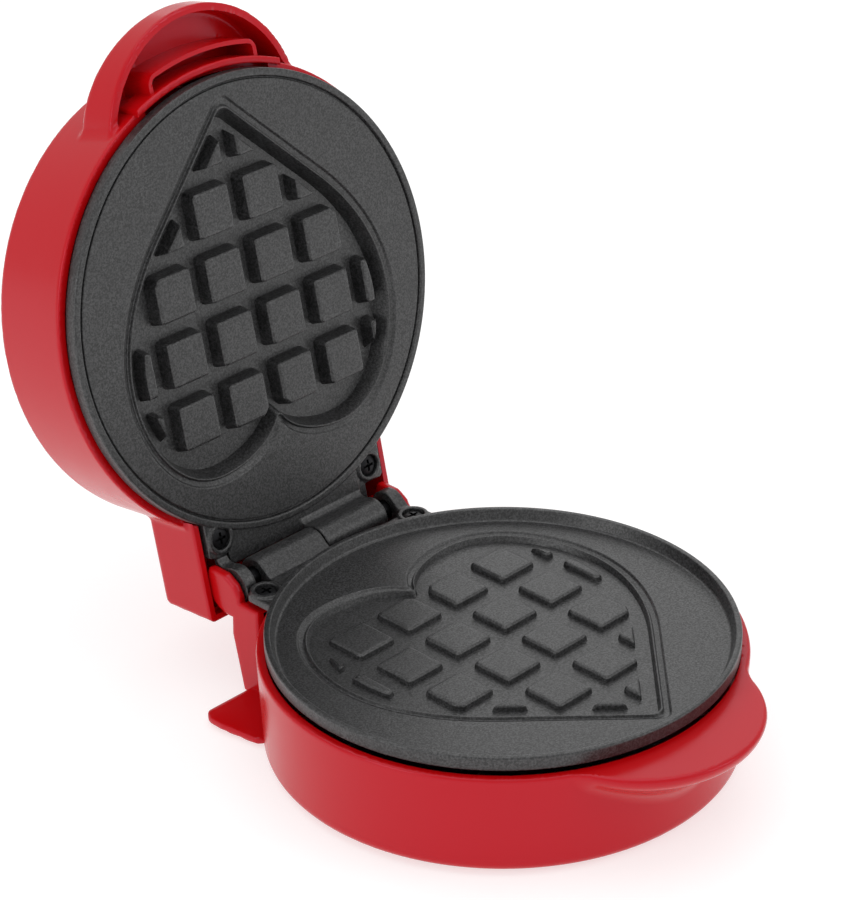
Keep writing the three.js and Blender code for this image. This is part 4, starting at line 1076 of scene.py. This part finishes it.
new_piece("lid_shell", points, faces, red, "lid", "red_plastic", ["lid_shell"], normals=normals)


# Cap of the lid, with the indicator's slot and bar

# Cap and slot
CAP_THICKNESS = 2.1
CAP_SLOT_EDGE = 0.35
CAP_RIM_EDGE = 0.6
CAP_LOW_EDGE = 0.3
CAP_RAYS = 192
CAP_BISECTIONS = 36
CAP_REACH = 110.0
SLOT_Y = 36.0
SLOT_HALF = 1.0
SLOT_HALF_LENGTH = 11.0
SLOT_CORNER = 0.5
SLOT_EDGE_WIDTH = 0.8
CAP_RIM_WIDTH = 1.4
# Bar
LENS_HALF = 0.7
LENS_FRONT = 25.3
LENS_BACK = 46.7
LENS_FLANGE = 2.3
LENS_FLANGE_LOW = 63.8
LENS_FLANGE_TOP = 65.0
LENS_DROP = 0.9
LENS_EDGE = 0.3
LENS_CROWN_INSET = 0.5
LENS_CROWN = 0.05
BAR_END_STEPS = 8


def top_cap():
    """Disc with a slot for the indicator: rings that run from the slot out to the rim."""
    middle = np.array([0, SLOT_Y])
    around = np.linspace(0, 2 * math.pi, CAP_RAYS + 1)[:-1] - math.pi / 2
    ray = np.stack([np.cos(around), np.sin(around)], 1)

    def reach(shape):
        near, far = np.zeros(CAP_RAYS), np.full(CAP_RAYS, CAP_REACH)
        for _ in range(CAP_BISECTIONS):
            half = (near + far) / 2
            value = shape(middle + ray * half[:, None])
            near, far = np.where(value < 0, half, near), np.where(value < 0, far, half)
        return middle + ray * ((near + far) / 2)[:, None]

    def slot_at(grow):
        return reach(lambda q: trimmed(np.abs(q[:, 0]) - SLOT_HALF - grow, np.abs(
            q[:, 1] - SLOT_Y) - SLOT_HALF_LENGTH - grow, SLOT_CORNER))

    def disc_at(radius):
        return reach(lambda q: np.hypot(q[:, 0], q[:, 1]) - radius)

    low = LID_TOP - CAP_THICKNESS
    edge = rounded([(0, low), (0, LID_TOP, CAP_SLOT_EDGE), (SLOT_EDGE_WIDTH, LID_TOP)])
    rim = rounded([(CAP_RADIUS - CAP_RIM_WIDTH, LID_TOP), (CAP_RADIUS, LID_TOP, CAP_RIM_EDGE),
                   (CAP_RADIUS, low, CAP_LOW_EDGE), (CAP_RADIUS - CAP_RIM_WIDTH, low)])
    rings = [level_ring(slot_at(grow), z) for grow, z in edge]
    rings += [level_ring(disc_at(radius), z) for radius, z in rim]
    return skin(rings, loop=True)


def bar_outline(half_width, front, back):
    """Round-ended bar along Y, anticlockwise."""
    angles = np.radians(np.linspace(-90, 90, BAR_END_STEPS + 1))
    radius = min(half_width, LENS_HALF)
    across, length = half_width - radius, back - front - 2 * radius
    right = [(across + radius * math.cos(a), front + radius + radius * math.sin(a))
             for a in angles[:BAR_END_STEPS // 2 + 1]]
    right += [(half_width, front + radius + length * share) for share in (0.25, 0.5, 0.75)]
    right += [(across + radius * math.cos(a), back - radius + radius * math.sin(a))
              for a in angles[BAR_END_STEPS // 2:]]
    right = np.array(right)
    return np.concatenate([right, right[::-1] * (-1, 1)])


def lens():
    """Clear bar in the slot, a little below the cap's face, with its hidden flange."""
    top = LID_TOP - LENS_DROP
    profile = rounded([(-LENS_FLANGE, LENS_FLANGE_LOW), (-LENS_FLANGE, LENS_FLANGE_TOP),
                       (0, LENS_FLANGE_TOP), (0, top, LENS_EDGE),
                       (LENS_CROWN_INSET, top + LENS_CROWN)])
    rings = []
    for inset, z in profile:
        end_inset = max(inset, 0)
        outline = bar_outline(LENS_HALF - inset, LENS_FRONT + end_inset, LENS_BACK - end_inset)
        rings.append(level_ring(outline, z))
    return skin(rings)


new_piece("lid_top_cap", *top_cap(), red, "lid", "red_plastic", ["lid_top_cap"])
new_piece("indicator_lens", *lens(), clear_red, "lid", "clear_red_plastic", ["indicator_lens"])


# Hinge pin and bushing

PIN_END = 29.5
PIN_CHAMFER = 0.5
PIN_FACE_RADIUS = 0.9
BUSHING_BORE = 4.0
BUSHING_NECK = 5.6
BUSHING_FLANGE = 7.4
BUSHING_INNER = -3.3
BUSHING_SEAT = 0.3
BUSHING_OUTER = 1.8
PIN_STEPS = 40
BUSHING_STEPS = 48


def hinge_pin():
    """Pin along X through barrels and ears, its ends rounded."""
    profile = rounded([(PIN_FACE_RADIUS, PIN_END), (PIN_RADIUS, PIN_END, PIN_CHAMFER),
                       (PIN_RADIUS, -PIN_END, PIN_CHAMFER), (PIN_FACE_RADIUS, -PIN_END)])
    rings = turned(profile, PIN_STEPS, (0, HINGE_Y, HINGE_Z), (0, 1, 0), (0, 0, 1), (1, 0, 0))
    return skin(rings[::-1])


def bushing():
    """Rubber ring in the back wall with a rounded flange outside it."""
    profile = rounded([
        (BUSHING_BORE, BUSHING_INNER, 0.4), (BUSHING_NECK, BUSHING_INNER, 0.4),
        (BUSHING_NECK, BUSHING_SEAT, 0), (BUSHING_FLANGE, BUSHING_SEAT, 0.3),
        (BUSHING_FLANGE, BUSHING_OUTER, 0.8), (BUSHING_BORE, BUSHING_OUTER, 0.6),
    ], closed=True)
    rise, run = math.sin(BACK_WALL_SLOPE), math.cos(BACK_WALL_SLOPE)
    place = (0, BACK_WALL_Y + INLET_RISE * math.tan(BACK_WALL_SLOPE), INLET_Z)
    rings = turned(profile, BUSHING_STEPS, place, (1, 0, 0), (0, rise, run), (0, run, -rise))
    return skin(rings, loop=True)


new_piece("hinge_pin", *hinge_pin(), black_steel, "base", "black_oxide_steel", ["hinge_pin"])
new_piece("cord_inlet_bushing", *bushing(), rubber, "base", "black_rubber",
          ["cord_inlet_bushing"])


# Screws and feet, by nodes

COVER_SCREW_RING = 55.2
COVER_SCREW_PLACE = ((1, -1, -1), 3.2)
FOOT_RING = 42
FOOT_PLACE = ((1, -1, -1), 1.9)
SCREW_SEAT = -1.75
SHANK_OVERLAP = 0.3
CROSS_OVERRUN = 1.0
DOME_POWER = 3.0


def node_group(name, inputs):
    """Tree with a geometry in and out and named sizes, and the values to set on them."""
    tree = bpy.data.node_groups.new(name, "GeometryNodeTree")
    tree.interface.new_socket("Geometry", in_out="INPUT", socket_type="NodeSocketGeometry")
    for key, value in inputs.items():
        kind = "NodeSocketMaterial" if isinstance(value, bpy.types.Material) else "NodeSocketFloat"
        tree.interface.new_socket(key, in_out="INPUT", socket_type=kind)
    tree.interface.new_socket("Geometry", in_out="OUTPUT", socket_type="NodeSocketGeometry")
    return tree, tree.nodes.new("NodeGroupInput").outputs


def domed(tree, part, radius, drop):
    """Lets a flat end fall away towards its edge, as a pressed or moulded end does."""
    place = add(tree, "GeometryNodeInputPosition")
    x, y, z = add(tree, "ShaderNodeSeparateXYZ", {"Vector": place}).node.outputs
    flat = add(tree, "ShaderNodeCombineXYZ", {"X": x, "Y": y})
    fall = add(tree, "ShaderNodeVectorMath", {"Vector": flat}, "Value", operation="LENGTH")
    for operation, amount in (("DIVIDE", radius), ("POWER", DOME_POWER), ("MULTIPLY", drop),
                              ("MULTIPLY", -1.0)):
        fall = add(tree, "ShaderNodeMath", {"Value": fall, "Value_001": amount},
                   operation=operation)
    top = add(tree, "ShaderNodeMath", {"Value": z, "Value_001": 0.0}, operation="GREATER_THAN")
    return add(tree, "GeometryNodeSetPosition", {
        "Geometry": part, "Selection": top,
        "Offset": add(tree, "ShaderNodeCombineXYZ", {"Z": fall})})


def lifted(tree, part, size, share, more):
    """Moves a part along its axis by a share of a size and a little more."""
    height = size
    for operation, amount in (("MULTIPLY", share), ("ADD", more)):
        height = add(tree, "ShaderNodeMath", {"Value": height, "Value_001": amount},
                     operation=operation)
    return add(tree, "GeometryNodeTransform", {
        "Geometry": part, "Translation": add(tree, "ShaderNodeCombineXYZ", {"Z": height})})


def spread(tree, given, part):
    """Ends a tree: the part on every point, made real and given its finish."""
    copies = add(tree, "GeometryNodeInstanceOnPoints", {
        "Points": given["Geometry"], "Instance": part})
    real = add(tree, "GeometryNodeRealizeInstances", {"Geometry": copies})
    coated = add(tree, "GeometryNodeSetMaterial", {"Geometry": real, "Material": given["Finish"]})
    add(tree, "NodeGroupOutput", {"Geometry": coated})


def pan_head_screw():
    """Pan-head screw with a cross recess on every point, its head's seat at the point."""
    sizes = {"Head Radius": 2.8, "Head Height": 1.4, "Dome": 0.45, "Shank Radius": 1.5,
             "Length": 11.0, "Cross Length": 3.4, "Cross Width": 0.75, "Cross Depth": 0.9,
             "Finish": black_steel}
    tree, given = node_group("pan_head_screw", sizes)
    head = add(tree, "GeometryNodeMeshCylinder", {
        "Vertices": 32, "Side Segments": 1, "Fill Segments": 7, "Radius": given["Head Radius"],
        "Depth": given["Head Height"]})
    head = domed(tree, head, given["Head Radius"], given["Dome"])
    head = lifted(tree, head, given["Head Height"], 0.5, 0.0)
    half_depth = add(tree, "ShaderNodeMath", {
        "Value": given["Cross Depth"], "Value_001": 0.5}, operation="MULTIPLY")
    floor = add(tree, "ShaderNodeMath", {
        "Value": given["Head Height"], "Value_001": half_depth}, operation="SUBTRACT")
    height = add(tree, "ShaderNodeMath", {
        "Value": given["Cross Depth"], "Value_001": CROSS_OVERRUN}, operation="ADD")
    arms = []
    for first, second in (("Cross Length", "Cross Width"), ("Cross Width", "Cross Length")):
        size = add(tree, "ShaderNodeCombineXYZ", {
            "X": given[first], "Y": given[second], "Z": height})
        arm = add(tree, "GeometryNodeMeshCube", {"Size": size})
        arms.append(lifted(tree, arm, floor, 1.0, CROSS_OVERRUN / 2))
    recessed = add(tree, "GeometryNodeMeshBoolean", {"Mesh 1": head, "Mesh 2": arms},
                   operation="DIFFERENCE")
    shank = add(tree, "GeometryNodeMeshCylinder", {
        "Vertices": 24, "Side Segments": 1, "Fill Segments": 1, "Radius": given["Shank Radius"],
        "Depth": given["Length"]})
    shank = lifted(tree, shank, given["Length"], -0.5, SHANK_OVERLAP)
    spread(tree, given, add(tree, "GeometryNodeJoinGeometry", {"Geometry": [recessed, shank]}))
    return tree, sizes


def rubber_foot():
    """Round rubber foot with a domed tread on every point; its tread faces down the local axis."""
    sizes = {"Radius": 5.0, "Height": 1.9, "Tread": 0.25, "Finish": rubber}
    tree, given = node_group("rubber_foot", sizes)
    foot = add(tree, "GeometryNodeMeshCylinder", {
        "Vertices": 40, "Side Segments": 2, "Fill Segments": 8, "Radius": given["Radius"],
        "Depth": given["Height"]})
    foot = domed(tree, foot, given["Radius"], given["Tread"])
    spread(tree, given, lifted(tree, foot, given["Height"], 0.5, 0.0))
    return tree, sizes


def scattered(name, group, changed, seats, place, body, slot, replaced):
    """Runs a tree on a few points, then keeps the result as one plain mesh on its body."""
    tree, sizes = group
    sizes = {**sizes, **changed}
    dots = bpy.data.meshes.new(name + "_seats")
    dots.from_pydata(seats, [], [])
    holder = bpy.data.objects.new(name + "_seats", dots)
    bpy.context.scene.collection.objects.link(holder)
    modifier = holder.modifiers.new(name, "NODES")
    modifier.node_group = tree
    named = {item.name: item.identifier for item in tree.interface.items_tree
             if item.item_type == "SOCKET" and item.in_out == "INPUT"}
    for key, value in sizes.items():
        modifier[named[key]] = value
    made = bpy.data.meshes.new_from_object(
        holder.evaluated_get(bpy.context.evaluated_depsgraph_get()))
    holder.modifiers.remove(modifier)
    points = np.array([vertex.co for vertex in made.vertices])
    faces = [list(polygon.vertices) for polygon in made.polygons]
    bpy.data.objects.remove(holder)
    bpy.data.meshes.remove(made)
    bpy.data.meshes.remove(dots)
    new_piece(name, placed(points, place), faces, sizes["Finish"], body, slot, replaced)


screw, foot = pan_head_screw(), rubber_foot()
for level, body, seat_z, lug_y, place in (
        ("lower", "base", SCREW_SEAT - LUG_DROP, LOWER_LUG_Y, LOWER_PLACE),
        ("upper", "lid", SCREW_SEAT, UPPER_LUG_Y, UPPER_PLACE)):
    scattered(f"{level}_plate_screws", screw, {}, [(-LUG_X, lug_y, seat_z), (LUG_X, lug_y, seat_z)],
              place, body, "black_oxide_steel",
              [f"{level}_plate_screw_left", f"{level}_plate_screw_right"])
corners = [(math.cos(math.radians(a)), math.sin(math.radians(a))) for a in (45, 135, 225, 315)]
corner_names = ("rear_right", "rear_left", "front_left", "front_right")
scattered("cover_screws", screw, {"Length": 9.0, "Finish": zinc},
          [(COVER_SCREW_RING * x, -COVER_SCREW_RING * y, 0) for x, y in corners],
          COVER_SCREW_PLACE, "base", "zinc_steel", [f"cover_screw_{name}" for name in corner_names])
scattered("rubber_feet", foot, {}, [(FOOT_RING * x, -FOOT_RING * y, 0) for x, y in corners],
          FOOT_PLACE, "base", "black_rubber", [f"rubber_foot_{name}" for name in corner_names])


# CAD pieces that keep their shape and take a finish

kept = {
    "bottom_cover": red, "lower_heating_element": sheath, "lower_heat_reflector": aluminium,
    "lower_reflector_screw": zinc, "thermostat": ceramic, "terminal_block": ceramic,
    "lower_lead_left": sleeve, "lower_lead_right": sleeve, "neon_lamp": glass,
    "upper_heating_element": sheath, "upper_heat_reflector": aluminium,
    "upper_reflector_screw": zinc, "thermal_fuse": ceramic, "upper_lead_left": sleeve,
    "upper_lead_right": sleeve,
}
for name, finish in kept.items():
    node = frame["nodes"][name]
    node.data.materials.clear()
    node.data.materials.append(finish)


# Floor, light and camera, with the floor and the lamps in metres

TABLE_HALF = 6.0
VIEW_AZIMUTH = -44.857
VIEW_ELEVATION = 28.545
VIEW_ROLL = -1.063
VIEW_DISTANCE = 804.322
VIEW_TARGET = (-8.292, 20, 80.339)
FOCAL_PIXELS = 3210.477
PHOTO_HEIGHT_PIXELS = 900
SENSOR = 36
CLIP_NEAR = 0.01
CLIP_FAR = 50


def opal_acrylic():
    """Opal acrylic, cast and sanded, lit from below: white, with a faint contact shadow."""
    material, tree, at = finish_of("back_lit_opal_acrylic")
    haze = add(tree, "ShaderNodeTexNoise", {"Vector": at, "Scale": per_mm(4)})
    colour = add(tree, "ShaderNodeMix", {
        "Factor_Float": haze, "A_Color": "#BABABA", "B_Color": "#BEBEBE",
    }, "Result_Color", data_type="RGBA")
    glow = add(tree, "ShaderNodeBsdfPrincipled", {
        "Base Color": colour, "Roughness": 0.9, "Specular IOR Level": 0.1,
        "Emission Color": "#FFFFFF", "Emission Strength": 0.62})
    add(tree, "ShaderNodeOutputMaterial", {"Surface": glow})
    return material


def light_table():
    """A wide white sheet, level with the soles of the feet."""
    half = TABLE_HALF
    mesh = bpy.data.meshes.new("light_table")
    mesh.from_pydata([(-half, -half, 0), (half, -half, 0), (half, half, 0), (-half, half, 0)], [],
                     [(0, 1, 2, 3)])
    sheet = bpy.data.objects.new("light_table", mesh)
    bpy.context.scene.collection.objects.link(sheet)
    mesh.materials.append(opal_acrylic())


def softbox(name, place, aim, size, power):
    """A soft rectangular lamp that faces the point it aims at."""
    light = bpy.data.lights.new(name, "AREA")
    light.shape = "RECTANGLE"
    light.size, light.size_y = size
    light.energy = power
    lamp = bpy.data.objects.new(name, light)
    lamp.location = place
    lamp.rotation_euler = (Vector(aim) - Vector(place)).to_track_quat("-Z", "Y").to_euler()
    bpy.context.scene.collection.objects.link(lamp)


def camera():
    """The camera that took the photograph, as fitted to the plates' rims and the hinge line."""
    azimuth, elevation = math.radians(VIEW_AZIMUTH), math.radians(VIEW_ELEVATION)
    roll = math.radians(VIEW_ROLL)
    back = Vector((math.sin(azimuth) * math.cos(elevation),
                   -math.cos(azimuth) * math.cos(elevation), math.sin(elevation)))
    right = Vector((math.cos(azimuth), math.sin(azimuth), 0))
    up = back.cross(right)
    right, up = (math.cos(roll) * right + math.sin(roll) * up,
                 -math.sin(roll) * right + math.cos(roll) * up)
    optics = bpy.data.cameras.new("camera")
    optics.sensor_width = SENSOR
    optics.lens = FOCAL_PIXELS / PHOTO_HEIGHT_PIXELS * SENSOR
    optics.clip_start, optics.clip_end = CLIP_NEAR, CLIP_FAR
    eye = bpy.data.objects.new("camera", optics)
    target = Vector((VIEW_TARGET[0], VIEW_TARGET[1] + PLATES_Y, VIEW_TARGET[2])) * MM
    eye.rotation_euler = Matrix((right, up, back)).transposed().to_euler()
    eye.location = target + VIEW_DISTANCE * MM * back
    bpy.context.scene.collection.objects.link(eye)
    bpy.context.scene.camera = eye


light_table()
camera()
world = bpy.data.worlds.new("studio")
world.use_nodes = True
world.node_tree.nodes.clear()
sky = add(world.node_tree, "ShaderNodeBackground", {"Color": "#FFFFFF", "Strength": 0.72})
add(world.node_tree, "ShaderNodeOutputWorld", {"Surface": sky})
bpy.context.scene.world = world
bpy.context.scene.view_settings.view_transform = "Standard"
softbox("left_softbox", place=(-1.0, 0.1, 0.45), aim=(0, 0, 0.08), size=(0.45, 0.6), power=1.6)
softbox("right_softbox", place=(0.55, -0.95, 0.75), aim=(0, 0, 0.06), size=(0.5, 0.5), power=1.6)
softbox("back_softbox", place=(0.95, 0.9, 0.75), aim=(0, 0, 0.03), size=(1.0, 0.8), power=1.4)
softbox("top_softbox", place=(0.1, 0.2, 1.4), aim=(0, 0, 0), size=(1.4, 1.4), power=5)
